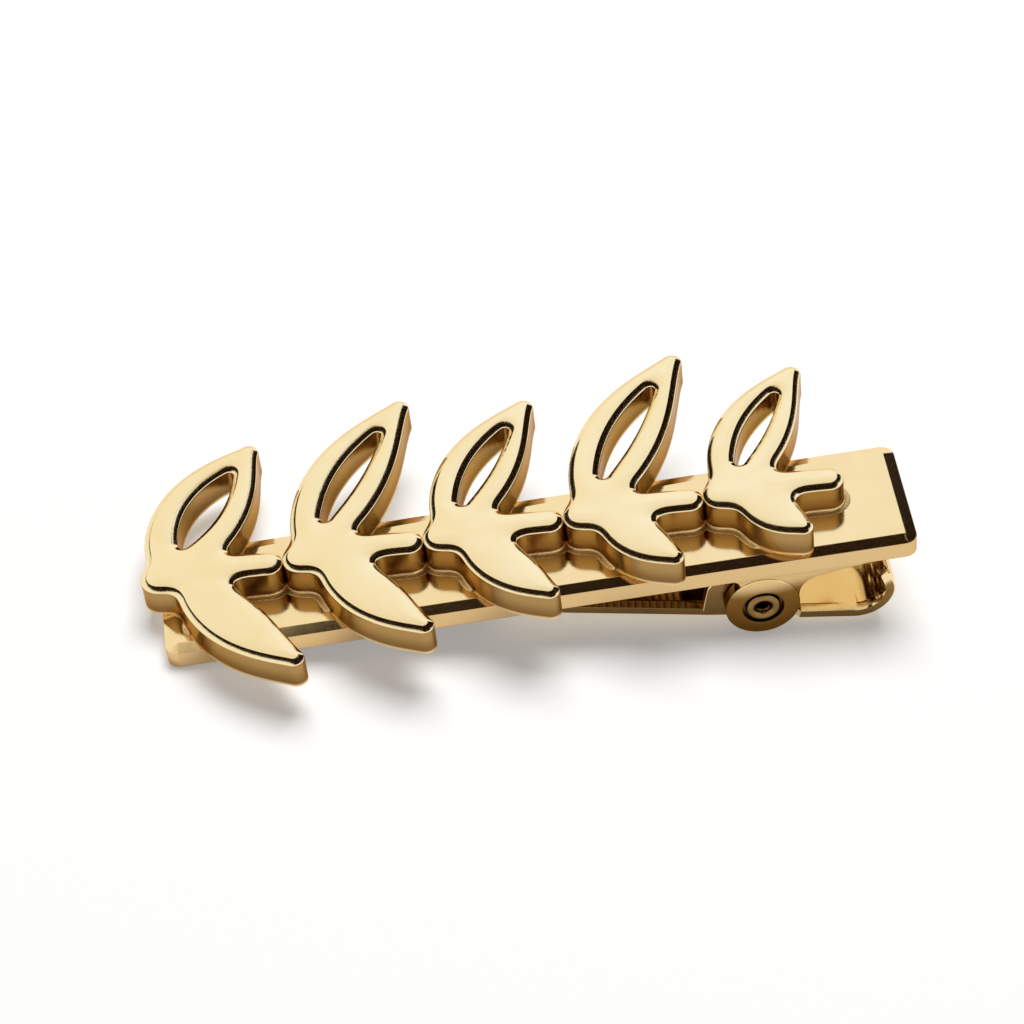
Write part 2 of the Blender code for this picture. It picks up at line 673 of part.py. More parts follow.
def sprig_mesh(index):
    """One cast sprig, flat behind and chamfered round its front, on the bar's face."""
    low = BAR_THICKNESS + SOLDER_GAP
    high = low + SPRIG_THICKNESS
    half = (SPRIG_THICKNESS + SPRIG_BEVEL) / 2
    mesh = outline_mesh(sprig_outlines(index), half, bevel=SPRIG_BEVEL)
    start = index * SPRIG_PITCH - BRANCH_START
    mesh.transform(Matrix.Translation((start, BAR_MIDLINE + STEM_OFFSET, high - half)))
    bm = bmesh.new()
    bm.from_mesh(mesh)
    everything = bm.verts[:] + bm.edges[:] + bm.faces[:]
    cut = bmesh.ops.bisect_plane(bm, geom=everything, plane_co=(0, 0, low), plane_no=(0, 0, 1),
                                 clear_inner=True)
    rim = [item for item in cut["geom_cut"] if isinstance(item, bmesh.types.BMEdge)]
    bmesh.ops.triangle_fill(bm, use_beauty=True, edges=rim)
    bm.to_mesh(mesh)
    bm.free()
    return close_mesh(mesh)


def add_piece(name, mesh, material, parent, collection):
    mesh.name = name
    mesh.materials.clear()
    mesh.materials.append(material)
    mesh.shade_smooth()
    mesh.set_sharp_from_angle(angle=math.radians(SMOOTH_ANGLE))
    piece = bpy.data.objects.new(name, mesh)
    collection.objects.link(piece)
    piece.parent = parent
    return piece


def add_frame(name, parent, place, turn, collection):
    frame = bpy.data.objects.new(name, None)
    frame.location = place
    frame.rotation_euler = (0.0, turn, 0.0)
    frame.parent = parent
    collection.objects.link(frame)
    return frame


def stand_on_origin(frame, pieces):
    """Move the clip so that its box stands on Z = 0, centred on the origin."""
    bpy.context.view_layer.update()
    corners = [piece.matrix_world @ vertex.co for piece in pieces for vertex in piece.data.vertices]
    low = [min(corner[axis] for corner in corners) for axis in range(3)]
    high = [max(corner[axis] for corner in corners) for axis in range(3)]
    frame.location = (-(low[0] + high[0]) / 2, -(low[1] + high[1]) / 2, -low[2])
    bpy.context.view_layer.update()


def build():
    clear_scene()
    collection = bpy.data.collections.new("pinch_tie_clip")
    bpy.context.scene.collection.children.link(collection)
    clip = add_frame("clip_frame", None, (0, 0, 0), -resting_lean(), collection)
    pivot = add_frame("lever_pivot", clip, (0, 0, -HINGE_DEPTH), lever_angle(), collection)
    pieces = [
        add_piece("face_bar", face_bar_mesh(), metal("bar_gold", PALE_GOLD, POLISHED), clip, collection),
        add_piece("hinge_rivet", rivet_mesh(), metal("rivet_gold", PALE_GOLD, POLISHED), clip, collection),
        add_piece("torsion_spring", spring_mesh(), metal("spring_steel", SPRING_STEEL, DRAWN), clip,
                  collection),
        add_piece("jaw_lever", lever_mesh(), metal("lever_gold", PALE_GOLD, POLISHED), pivot, collection),
    ]
    for index in range(len(UPPER_LEAF_RISES)):
        gold = metal(f"sprig_gold_{index + 1}", PALE_GOLD, POLISHED)
        pieces.append(add_piece(f"leaf_sprig_{index + 1}", sprig_mesh(index), gold, clip, collection))
    stand_on_origin(clip, pieces)


build()
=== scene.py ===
"""Looks of a pinch tie clip in polished pale gold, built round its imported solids.

The pieces are drawn in the bar's own frame, in millimetres: X runs along the bar
from the hinge axis towards the thumb end, Y across it from the front long edge to
the back one, and Z from the bar's back face to its front. The lever is drawn about
the hinge axis. Each mesh is then moved to the row frame, in metres.
"""

import json
import math

import bmesh
import bpy
import numpy as np
from mathutils import Matrix, Vector
from mathutils.geometry import delaunay_2d_cdt


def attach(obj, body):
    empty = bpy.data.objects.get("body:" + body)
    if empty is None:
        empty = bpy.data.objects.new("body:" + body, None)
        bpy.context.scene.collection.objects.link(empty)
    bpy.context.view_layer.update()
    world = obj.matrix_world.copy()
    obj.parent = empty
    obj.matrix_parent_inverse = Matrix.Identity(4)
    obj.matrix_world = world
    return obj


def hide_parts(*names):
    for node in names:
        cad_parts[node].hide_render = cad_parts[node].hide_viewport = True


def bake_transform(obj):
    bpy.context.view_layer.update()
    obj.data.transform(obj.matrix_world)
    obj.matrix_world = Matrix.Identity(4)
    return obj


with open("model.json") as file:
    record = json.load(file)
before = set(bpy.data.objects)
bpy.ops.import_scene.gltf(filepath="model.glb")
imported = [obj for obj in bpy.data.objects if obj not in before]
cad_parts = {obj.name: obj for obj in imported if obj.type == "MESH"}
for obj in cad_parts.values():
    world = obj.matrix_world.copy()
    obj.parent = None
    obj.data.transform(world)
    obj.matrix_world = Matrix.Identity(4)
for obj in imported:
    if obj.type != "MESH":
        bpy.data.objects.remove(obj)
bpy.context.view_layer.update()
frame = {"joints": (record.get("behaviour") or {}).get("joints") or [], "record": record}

MM = 0.001

# Face bar
BAR_LEFT = 38.5
BAR_RIGHT = 10.3
BAR_WIDTH = 8.9
BAR_THICKNESS = 1.5
BAR_BEVEL_WIDTH = 0.75
BAR_BEVEL_DROP = 0.22
BAR_CORNER_RADIUS = 0.85
BAR_FACE_CORNER_RADIUS = 0.1
BAR_EDGE_RADIUS = 0.07
CORNER_STEPS = 10
EDGE_STEPS = 4
FLAT_EDGE_RESOLUTION = 3

# Hinge ears; each arc gives its first angle, its last one and its steps
HINGE_DEPTH = 2.5
EAR_RADIUS = 2.45
EAR_THICKNESS = 0.65
EAR_BOSS_HEIGHT = 0.25
EAR_EDGE_RADIUS = 0.1
EAR_DOME_DROP = 0.13
EAR_DOME_POWER = 1.5
EAR_DOME_STEPS = 8
EAR_FLARE_LENGTH = 7.3
EAR_FLARE_FILLET = 1.5
EAR_FLARE_WAIST = (5.5, -0.25)
EAR_FLARE_ARC = (175, 105, 16)
EAR_FLARE_POINTS = 15
EAR_WEB_PROUD = 0.012
EAR_WEB_TUCKS = ((-2.1, -2.0), (0.0, -2.5), (2.38, -2.38))
RELIEF_RADIUS = 0.5
RELIEF_ARC = (90, -20, 14)
RECESS_DEPTH = 0.35
RECESS_RADIUS = 1.35
DISC_SEGMENTS = 128
BORE_SEGMENTS = 96
FUSED_STEP = 0.03
CUT_MARGIN = 1.0
WELD_DISTANCE = 0.00005

# Grip teeth
TOOTH_PITCH = 0.5
TOOTH_HEIGHT = 0.2
TOOTH_ROW_START = 3.8
TEETH = 25
TOOTH_EDGE_INSET = 0.3
TOOTH_ROOT = 0.5

# Hollow rivet
RIVET_RADIUS = 0.75
RIVET_BORE_RADIUS = 0.45
RIVET_HEAD_RADIUS = 1.14
RIVET_ROLL_RADIUS = 0.3
RIVET_ROLL_STEPS = 24
RIVET_HEAD_PROUD = 0.08
RIVET_SEAT_GAP = 0.03

# Jaw lever
JAW_LENGTH = 16.9
LEVER_DROP = 1.85
LEVER_THICKNESS = 0.9
LEVER_EDGE_RADIUS = 0.2
LEVER_EDGE_STEPS = 7
LEVER_BEVEL_WIDTH = 0.5
LEVER_BEVEL_DROP = 0.23
THUMB_REACH = 8.87
CURL_RADIUS = 2.4
CURL_HEIGHT = 3.72
CURL_LEAN = 50.0
CURL_STEPS = 28
CURL_TIP_CORNER = 1.1
CURL_TIP_STEPS = 40
THUMB_INSET = 0.45
JAW_TIP_INSET = 1.5
LEVER_CORNER = 0.6
LEVER_SHOULDER = 2.55
SHOULDER_STEPS = 8
LUG_INSET = 0.8
LUG_RADIUS = 1.9
LUG_THICKNESS = 0.7
LUG_EDGE_RADIUS = 0.12
LUG_ARC = (112, -12, 36)
LUG_HEEL_RADIUS = 0.85
LUG_HEEL_REACH = 2.8
LUG_HEEL_RISE = 0.5
LUG_HEEL_ARC = (180, 100, 14)
LUG_TOE_REACH = 2.2
PIN_HOLE_RADIUS = 0.8
PIN_SEGMENTS = 64
WINDOW_BACK = 1.6
WINDOW_FRONT = 2.4
WINDOW_HALF_WIDTH = 2.26
JAW_CLOSED_GAP = 0.05

# Torsion spring
WIRE_RADIUS = 0.175
WIRE_RESOLUTION = 4
WIRE_SEAT_GAP = 0.05
COIL_TURNS = 4
COIL_PITCH = 0.85
COIL_RADIUS = 1.0
COIL_POINTS_PER_TURN = 36
SPRING_LEG_LENGTH = 5.0

# Leaf branch
BRANCH_START = 39.5
SPRIG_PITCH = 9.15
SPRIG_THICKNESS = 2.15
SPRIG_TO_BAR_GAP = 0.05
SPRIG_SINK = 0.02
STEM_OVERLAP = 0.04
STEM_OFFSET = 0.2
STEM_START_RADIUS = 1.15
STEM_END_RADIUS = 1.0
STEM_ARCH = 0.5
CROTCH_FILLET = 1.3
UPPER_LEAF_RISES = (10.3, 12.4, 10.7, 12.9, 10.1)
UPPER_LEAF_BELLIES = (3.1, 2.8, 2.65, 2.8, 2.55)
UPPER_SLOT_RADII = (1.15, 0.85, 0.8, 0.85, 0.75)
UPPER_LEAF_ROOT = (1.9, 0.4)
UPPER_LEAF_LEAN = 0.56
UPPER_LEAF_BOW = 0.085
LOWER_LEAF_DROPS = (8.4, 7.3, 6.0, 4.7, 3.8)
LOWER_LEAF_BELLY = 1.35
LOWER_LEAF_BELLY_SHARE = 0.075
LOWER_LEAF_ROOT = (3.0, 0.0)
LOWER_LEAF_LEAN = 0.74
LOWER_LEAF_BOW = -0.11
MIDRIB_POINTS = 91
OUTLINE_GRID = 0.08
OUTLINE_STEP = 0.11
OUTLINE_TRIM = 0.006
FEWEST_OUTLINE_POINTS = 12

# Span of the midrib, radius at its start and end, how low the belly sits, and taper
LEAF_FORM = ((0.0, 1.0), 0.9, 0.7, 0.85, 1.1)
SLOT_FORM = ((0.22, 0.80), 0.3, 0.3, 1.0, 0.9)

# A sprig's edge, chamfer and crowned face; tilts are in degrees from straight up
SPRIG_EDGE_RADIUS = 0.15
SPRIG_EDGE_RINGS = 5
SPRIG_CHAMFER_WIDTH = 0.335
SPRIG_CHAMFER_TILTS = (31.0, 38.0)
SPRIG_CHAMFER_RINGS = 8
SPRIG_CREST_ROLL = 0.03
CROWN_TILT = 6.0
CROWN_REACH = 0.45
CROWN_GRID = 0.22
FILL_TOLERANCE = 1e-7
FOOT_FACING = -0.999

# How far a ring may move from its outline where that turns or narrows tightly
REACH_SLACK = 0.995
REACH_CUT = 0.93
REACH_TRIES = 120
TIGHT_SHARE = 0.88

# Solder skirts, from below: share of the reach, rise, tilt, and height with no bar below
SKIRT_REACH = 0.45
SKIRT_REACH_IN_SLOT = 0.18
SKIRT_PROFILE = (
    (1.0, -0.008, 20, 0.0),
    (0.75, 0.03, 8, 0.06),
    (0.4, 0.055, 8, 0.1),
    (0.16, 0.09, 30, 0.14),
    (0.04, 0.14, 65, 0.18),
    (0.0, 0.2, 90, 0.22),
)

# Each gold: the pale and the deep shade that it wanders between, and its roughness
BAR_GOLD = ((0.96, 0.79, 0.48), (0.93, 0.74, 0.42), 0.11)
LEVER_GOLD = ((0.95, 0.79, 0.50), (0.92, 0.74, 0.44), 0.1)
# The rivet's gold is painted dark brown: painted shade for a rivet deep in the ear's recess
RIVET_GOLD_PAINTED_SHADE = ((0.29, 0.18, 0.065), (0.23, 0.135, 0.047), 0.14)
CAST_GOLD = ((0.97, 0.85, 0.57), (0.95, 0.80, 0.49), 0.09)
GRAZING_TINT = (0.90, 0.66, 0.44)

# Painted shade and light, each with its roughness. The darker tones on the bar's side walls, under the
# bar, on the ear discs, in the recesses, on the lever's side edges and on the sprigs' walls, darkest at
# their foot, are painted shade for the shade and dark reflections there; the paler tone under the bar
# over the lever's curl is painted light. The solder's tone is the skirt's own colour.
BAR_WALL_PAINTED_SHADE = ((0.70, 0.485, 0.23), 0.2)
BAR_UNDERSIDE_PAINTED_SHADE = ((0.22, 0.125, 0.045), 0.16)
THUMB_UNDERSIDE_PAINTED_LIGHT = ((0.80, 0.63, 0.36), 0.16)
EAR_PAINTED_SHADE = ((0.19, 0.09, 0.018), 0.2)
RECESS_PAINTED_SHADE = ((0.10, 0.055, 0.02), 0.3)
LEVER_EDGE_PAINTED_SHADE = ((0.25, 0.145, 0.05), 0.24)
CAST_WALL_PAINTED_SHADE = ((0.40, 0.245, 0.09), 0.2)
CAST_FOOT_PAINTED_SHADE = ((0.22, 0.12, 0.04), 0.26)
SOLDER = ((0.80, 0.58, 0.29), 0.26)

# Where a tone starts and is full: how far a surface faces a direction, its height
# over the bar's back face, or its distance from the hinge axis
WALLS = (0.6, 0.3)
UNDERSIDES = (-0.3, -0.6)
EDGES = (0.8, 0.95)
UNDER_BAR = (-0.3, -1.5)
PAST_HINGE = (EAR_RADIUS, 2 * EAR_RADIUS)
IN_RECESS = (RECESS_RADIUS + 0.06, RECESS_RADIUS + 0.01)
IN_BORE = (RIVET_BORE_RADIUS + 0.12, RIVET_BORE_RADIUS)
AT_FOOT = (BAR_THICKNESS + 1.6, BAR_THICKNESS + 0.1)
ON_SOLDER = (BAR_THICKNESS + 0.25, BAR_THICKNESS + 0.05)
ON_SKIN = (BAR_THICKNESS + 0.5, BAR_THICKNESS + 0.12)

# Noise: features in a millimetre, and detail
SHADE_NOISE = (0.35, 3.0)
GRAIN_NOISE = (9.0, 4.0)
WAVE_NOISE = (0.5, 1.0)
SKIN_NOISE = (12.0, 2.0)
NOISE_SPAN = (0.3, 0.7)
GLOSS_SPREAD = 0.15

# Relief in millimetres, and its strength
WAVE_DEPTH = 0.02
WAVE_STRENGTH = 0.25
LEVER_WAVE_STRENGTH = 0.08
GRAIN_DEPTH = 0.01
GRAIN_STRENGTH = 0.12
SKIN_DEPTH = 0.03

# Spring wire, with its marks along it
WIRE_SHADES = ((0.62, 0.55, 0.42), (0.45, 0.39, 0.29))
WIRE_ROUGHNESS = (0.22, 0.34)
WIRE_NOISE = (6.0, 3.0)
WIRE_STRETCH = (1.0, 4.0, 1.0)
WIRE_MARK_STRENGTH = 0.2

# Least angle of an edge that stays sharp, and how much large faces count in shading
SHEET_ANGLE = 30
RIVET_ANGLE = 40
WIRE_ANGLE = 60
NORMAL_WEIGHT = 100

# Camera, fitted to the photograph: its target is in the bar's frame
CAMERA_AZIMUTH = -9.6
CAMERA_ELEVATION = 45.3
CAMERA_ROLL = 3.4
CAMERA_LENS = 120.0
CAMERA_SENSOR = 36.0
CAMERA_TARGET = (-15.16, 7.34, 2.0)
CAMERA_CLIP = (0.01, 10.0)
FRAME_WIDTH = 66.9

# Studio, in metres: the clip reflects a white room, but its bevels face dark flags
FLOOR_HALF_SIZE = 3.0
FLOOR_COLOUR = (0.8, 0.8, 0.8)
FLOOR_GLOW = 0.3
WHITE = (1.0, 1.0, 1.0)
ROOM_LIGHT = 0.08
WARM_SIDE = (0.97, 0.92, 0.81)
WARM_SPAN = (0.02, -0.2)
CEILING = (0.76, 0.66, 0.50)
CEILING_SPAN = (0.66, 1.0)
KEY_AZIMUTH = 165.0
KEY_ELEVATION = 71.0
KEY_DISTANCE = 1.5
KEY_SIZE = (1.0, 0.9)
KEY_RADIANCE = 7.6
FLAG_DISTANCE = 1.2
FLAG_COLOUR = (0.014, 0.006, 0.002)
FLAG_COLUMNS = 73
FLAG_ROWS = 9

# Each flag's name, the spot of the bar it is seen from, and the facets that mirror it
# there: their bearing with their least and most tilt
FLAGS = (
    ("rim_flag", (-14.0, 4.0),
     ((-118, 30, 33.5), (-55, 30.5, 34), (-15, 30.5, 37), (5, 30, 39.5),
      (30, 30, 39), (45, 29.5, 37), (60, 29, 38), (98, 28, 40))),
    ("left_rim_flag", (-20.0, 0.0),
     ((-120, 28.5, 34.5), (-60, 29.5, 35.5), (-30, 30, 36.5), (-10, 30, 37))),
    ("bar_front_flag", (-8.0, 0.0), ((-16, 12, 21), (20, 12, 21))),
    ("bar_corner_flag", (BAR_RIGHT - 0.5, 0.5), ((12, 11, 21), (84, 11, 21))),
    ("bar_end_flag", (BAR_RIGHT, 4.5), ((76, 12, 21), (104, 12, 21))),
)

# Sizes that follow from the ones above
BAR_MIDLINE = BAR_WIDTH / 2
STRIP_TOP = LEVER_THICKNESS - LEVER_DROP
LEVER_WAIST_REACH = EAR_RADIUS + LEVER_CORNER
CURL_CENTRE = THUMB_REACH - CURL_RADIUS
SPRIG_BASE = BAR_THICKNESS - SPRIG_SINK
SPRIG_TOP = BAR_THICKNESS + SPRIG_TO_BAR_GAP + SPRIG_THICKNESS - 2 * OUTLINE_TRIM

# The bar's frame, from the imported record: the mount on its back face looks away from
# the bar, and the hinge axis lies HINGE_DEPTH behind that face
MOUNTS = {mount["name"]: mount for mount in frame["record"]["mounts"]}
BAR_UP = -Vector(MOUNTS["bar_back_face"]["axis"])
BAR_ACROSS = Vector((0, 1, 0))
BAR_ALONG = BAR_ACROSS.cross(BAR_UP).normalized()
HINGE = Vector(frame["joints"][0]["pos_m"])


def frame_matrix(along, up, origin):
    """Matrix from millimetres in a leaning frame to metres in the row frame."""
    turn = Matrix((along, BAR_ACROSS, up)).transposed().to_4x4()
    return Matrix.Translation(origin) @ turn @ Matrix.Scale(MM, 4)


def lever_angle():
    """Angle from the bar to the closed lever, with the jaw tip at the grip teeth."""
    rise = HINGE_DEPTH - TOOTH_HEIGHT - JAW_CLOSED_GAP
    drop = -STRIP_TOP
    return math.atan2(drop, JAW_LENGTH) + math.asin(rise / math.hypot(JAW_LENGTH, drop))


BAR_FRAME = frame_matrix(BAR_ALONG, BAR_UP,
                         HINGE - (BAR_MIDLINE * BAR_ACROSS - HINGE_DEPTH * BAR_UP) * MM)
LEVER_FRAME = (Matrix.Translation(HINGE) @ Matrix.Rotation(lever_angle(), 4, BAR_ACROSS)
               @ Matrix.Translation(-HINGE)
               @ frame_matrix(BAR_ALONG, BAR_UP, HINGE - BAR_MIDLINE * BAR_ACROSS * MM))


def arc(centre, radius, start, end, steps):
    """Points of an arc in a plane, with its angles in degrees."""
    angles = [math.radians(start + (end - start) * step / steps) for step in range(steps + 1)]
    return [(centre[0] + radius * math.cos(angle), centre[1] + radius * math.sin(angle))
            for angle in angles]


def circle(centre, radius, segments):
    return arc(centre, radius, 0, 360 - 360 / segments, segments - 1)


def parabola(start, middle, end, count):
    """Points of a parabola that starts and ends at the outer two points."""
    return [Vector(start) * (1 - share) ** 2 + Vector(middle) * (2 * share * (1 - share))
            + Vector(end) * share ** 2 for share in np.linspace(0, 1, count)]


def rounded_rectangle(left, right, front, back, radius):
    points = []
    for x, y, start in ((right - radius, back - radius, 0), (left + radius, back - radius, 90),
                        (left + radius, front + radius, 180), (right - radius, front + radius, 270)):
        points += arc((x, y), radius, start, start + 90, CORNER_STEPS)
    return points


def edge_rounding(radius):
    """Inset and depth of a quarter-round edge, from the face's rim to the wall."""
    return arc((radius, radius), radius, -90, -180, EDGE_STEPS)


def drawn_in(radius, over):
    """How far a round corner has drawn in at a distance over its start."""
    return radius - math.sqrt(max(0.0, radius ** 2 - over ** 2))


def smooth(share):
    """A share from 0 to 1 with soft ends."""
    return share * share * (3 - 2 * share)


def placed(name, data):
    """New object in the scene."""
    obj = bpy.data.objects.new(name, data)
    bpy.context.scene.collection.objects.link(obj)
    return obj


def mesh_from(name, bm):
    """Mesh of a finished bmesh."""
    mesh = bpy.data.meshes.new(name)
    bm.to_mesh(mesh)
    bm.free()
    return mesh


def closed(mesh):
    """Weld a mesh's loose caps and turn its faces outwards."""
    bm = bmesh.new()
    bm.from_mesh(mesh)
    bmesh.ops.remove_doubles(bm, verts=bm.verts, dist=WELD_DISTANCE)
    bmesh.ops.recalc_face_normals(bm, faces=bm.faces)
    bm.to_mesh(mesh)
    bm.free()
    return mesh


def evaluated(obj):
    """Evaluated mesh of a helper object, which is removed."""
    bpy.context.view_layer.update()
    graph = bpy.context.evaluated_depsgraph_get()
    mesh = bpy.data.meshes.new_from_object(obj.evaluated_get(graph))
    bpy.data.objects.remove(obj, do_unlink=True)
    return mesh


def drawn_curve(dimensions, points, depth, resolution):
    """Curve data with one line of straight runs and a round bevel."""
    curve = bpy.data.curves.new("line", "CURVE")
    curve.dimensions = dimensions
    curve.bevel_depth = depth
    curve.bevel_resolution = resolution
    spline = curve.splines.new("POLY")
    spline.points.add(len(points) - 1)
    for point, place in zip(spline.points, points):
        point.co = (*place, 1.0)
    return curve


def prism(outline, low, high, rounding=0.0, across=True):
    """Solid with rounded edges and an outline seen from the side, from Y = low to Y = high.

    Where it isn't across, the outline is seen from above, from Z = low to Z = high.
    """
    following = outline[1:] + outline[:1]
    area = sum(here[0] * there[1] - there[0] * here[1] for here, there in zip(outline, following))
    outline = outline if area > 0 else outline[::-1]
    curve = drawn_curve("2D", [(*place, 0.0) for place in outline], rounding, FLAT_EDGE_RESOLUTION)
    curve.fill_mode = "BOTH"
    curve.extrude = (high - low) / 2 - rounding
    curve.offset = -rounding
    curve.splines[0].use_cyclic_u = True
    mesh = closed(evaluated(placed("outline", curve)))
    middle = (low + high) / 2
    if across:
        mesh.transform(Matrix.Translation((0, middle, 0)) @ Matrix.Rotation(math.radians(90), 4, "X"))
    else:
        mesh.transform(Matrix.Translation((0, 0, middle)))
    return mesh


def join_rings(bm, rings):
    """Faces between neighbouring closed rings of equal point count."""
    for lower, upper in zip(rings, rings[1:]):
        for here in range(len(lower)):
            there = (here + 1) % len(lower)
            bm.faces.new((lower[here], lower[there], upper[there], upper[here]))


def turned_across(profile, middle, segments):
    """Solid turned about the hinge axis; profile is (radius, place along Y), closed."""
    bm = bmesh.new()
    rings = []
    for east, up in circle((0, 0), 1.0, segments):
        rings.append([bm.verts.new((radius * east, middle + along, radius * up - HINGE_DEPTH))
                      for radius, along in profile])
    join_rings(bm, rings + rings[:1])
    return closed(mesh_from("turned", bm))


def lofted(rings):
    """Closed solid through rings of equal point count, each a list of points."""
    bm = bmesh.new()
    made = [[bm.verts.new(point) for point in ring] for ring in rings]
    join_rings(bm, made)
    bm.faces.new(made[0][::-1])
    bm.faces.new(made[-1])
    return closed(mesh_from("loft", bm))


def combined(base, tool, operation):
    """Boolean of two meshes, as a new mesh."""
    target = placed("base", base)
    cutter = placed("tool", tool)
    modifier = target.modifiers.new(operation.lower(), "BOOLEAN")
    modifier.operation = operation
    modifier.solver = "EXACT"
    modifier.object = cutter
    result = evaluated(target)
    bpy.data.objects.remove(cutter, do_unlink=True)
    return closed(result)


def joined_on_both_sides(mesh, piece):
    """Mesh with a piece, and the piece's mirror image in the bar's midline, joined to it."""
    copy = piece.copy()
    copy.transform(Matrix.Translation((0, BAR_WIDTH, 0)) @ Matrix.Diagonal((1, -1, 1, 1)))
    copy.flip_normals()
    return combined(combined(mesh, piece, "UNION"), copy, "UNION")


def bar_blank():
    """The bar: fine rounded edges, and a wide, shallow bevel round its front face."""
    slope = BAR_BEVEL_DROP / BAR_BEVEL_WIDTH
    shoulder = BAR_THICKNESS - BAR_BEVEL_DROP
    soft = BAR_EDGE_RADIUS / 2
    levels = edge_rounding(BAR_EDGE_RADIUS) + [
        (0.0, shoulder - soft),
        (soft * 0.3, shoulder),
        (soft * 1.2, shoulder + soft * 1.2 * slope),
        (BAR_BEVEL_WIDTH - soft, BAR_THICKNESS - soft * slope),
        (BAR_BEVEL_WIDTH + soft, BAR_THICKNESS),
    ]
    rings = []
    for inset, height in levels:
        radius = max(BAR_FACE_CORNER_RADIUS, BAR_CORNER_RADIUS - inset)
        outline = rounded_rectangle(inset - BAR_LEFT, BAR_RIGHT - inset, inset, BAR_WIDTH - inset, radius)
        rings.append([(x, y, height) for x, y in outline])
    return lofted(rings)


def ear_outline():
    """Web between the bar and the round ear, with its long flare towards the thumb end."""
    root = BAR_THICKNESS / 2
    notch_x = RELIEF_RADIUS - EAR_RADIUS
    notch = arc((notch_x, -RELIEF_RADIUS), RELIEF_RADIUS, *RELIEF_ARC)
    flare_centre = (EAR_RADIUS + EAR_FLARE_FILLET, EAR_WEB_TUCKS[0][1])
    flare = arc(flare_centre, EAR_FLARE_FILLET, *EAR_FLARE_ARC)
    run = parabola(flare[-1], EAR_FLARE_WAIST, (EAR_FLARE_LENGTH, FUSED_STEP), EAR_FLARE_POINTS)
    return [(notch_x, root), (notch[0][0], FUSED_STEP), *notch[1:], *EAR_WEB_TUCKS, *flare[:-1],
            *run, (EAR_FLARE_LENGTH, root)]


def ear_disc_profile():
    """Boss of one ear about the hinge axis: (radius, place along Y), with its recess."""
    outside, recess, inside = -EAR_BOSS_HEIGHT, RECESS_DEPTH - EAR_BOSS_HEIGHT, EAR_THICKNESS
    bore = RIVET_RADIUS + RIVET_SEAT_GAP
    profile = [(bore, recess), (bore, inside), (EAR_RADIUS, inside)]
    lip = EAR_EDGE_RADIUS / 2
    rim = EAR_RADIUS - EAR_EDGE_RADIUS
    crest = RECESS_RADIUS + 3 * lip
    profile += [(EAR_RADIUS - inset, outside + EAR_DOME_DROP + depth)
                for inset, depth in reversed(edge_rounding(EAR_EDGE_RADIUS))]
    for step in range(1, EAR_DOME_STEPS):
        share = step / EAR_DOME_STEPS
        drop = EAR_DOME_DROP * (1 - share) ** EAR_DOME_POWER
        profile.append((rim + (crest - rim) * share, outside + drop))
    profile += [(RECESS_RADIUS + inset, outside + depth) for inset, depth in edge_rounding(lip)]
    return profile + [(RECESS_RADIUS, recess)]


def grip_teeth():
    """Comb of cross teeth that stands out from the bar's back face."""
    points = [(-TOOTH_ROW_START, TOOTH_ROOT)]
    for index in range(TEETH):
        x = -TOOTH_ROW_START - index * TOOTH_PITCH
        points += [(x, FUSED_STEP), (x - TOOTH_PITCH / 2, -TOOTH_HEIGHT)]
    x = -TOOTH_ROW_START - TEETH * TOOTH_PITCH
    points += [(x, FUSED_STEP), (x, TOOTH_ROOT)]
    return prism(points, TOOTH_EDGE_INSET, BAR_WIDTH - TOOTH_EDGE_INSET)


def face_bar_mesh():
    """Bar, grip teeth and both ears."""
    bar = combined(bar_blank(), grip_teeth(), "UNION")
    web = prism(ear_outline(), -EAR_WEB_PROUD, EAR_THICKNESS - FUSED_STEP, EAR_EDGE_RADIUS)
    bore_outline = circle((0, -HINGE_DEPTH), RECESS_RADIUS + FUSED_STEP, BORE_SEGMENTS)
    bore = prism(bore_outline, -CUT_MARGIN, 2 * CUT_MARGIN)
    disc = turned_across(ear_disc_profile(), 0, DISC_SEGMENTS)
    return joined_on_both_sides(bar, combined(combined(web, bore, "DIFFERENCE"), disc, "UNION"))


def rivet_mesh():
    """Hollow rivet, rolled over in the recess of each ear."""
    underside = BAR_MIDLINE - (RECESS_DEPTH - EAR_BOSS_HEIGHT) + RIVET_SEAT_GAP
    crown = BAR_MIDLINE + EAR_BOSS_HEIGHT + RIVET_HEAD_PROUD
    roll_centre = (RIVET_HEAD_RADIUS - RIVET_ROLL_RADIUS, crown - RIVET_ROLL_RADIUS)
    half = [(RIVET_BORE_RADIUS, underside)]
    half += arc(roll_centre, RIVET_ROLL_RADIUS, 180, 0, RIVET_ROLL_STEPS)
    half += [(RIVET_HEAD_RADIUS, underside), (RIVET_RADIUS, underside)]
    profile = half + [(radius, -height) for radius, height in reversed(half)]
    return turned_across(profile, BAR_MIDLINE, BORE_SEGMENTS)


def lever_half_width(x):
    """Half of the lever's width at a place along its strip."""
    waist = BAR_MIDLINE - LUG_INSET - FUSED_STEP
    if x > LEVER_SHOULDER:
        share = min(1.0, (x - LEVER_SHOULDER) / (LEVER_CORNER / 2))
        return waist + (BAR_MIDLINE - THUMB_INSET - waist) * smooth(share)
    corner = LEVER_CORNER - JAW_LENGTH
    half = np.interp(x, (corner, -LEVER_WAIST_REACH), (BAR_MIDLINE - JAW_TIP_INSET, waist))
    return half - drawn_in(LEVER_CORNER, max(0.0, corner - x))


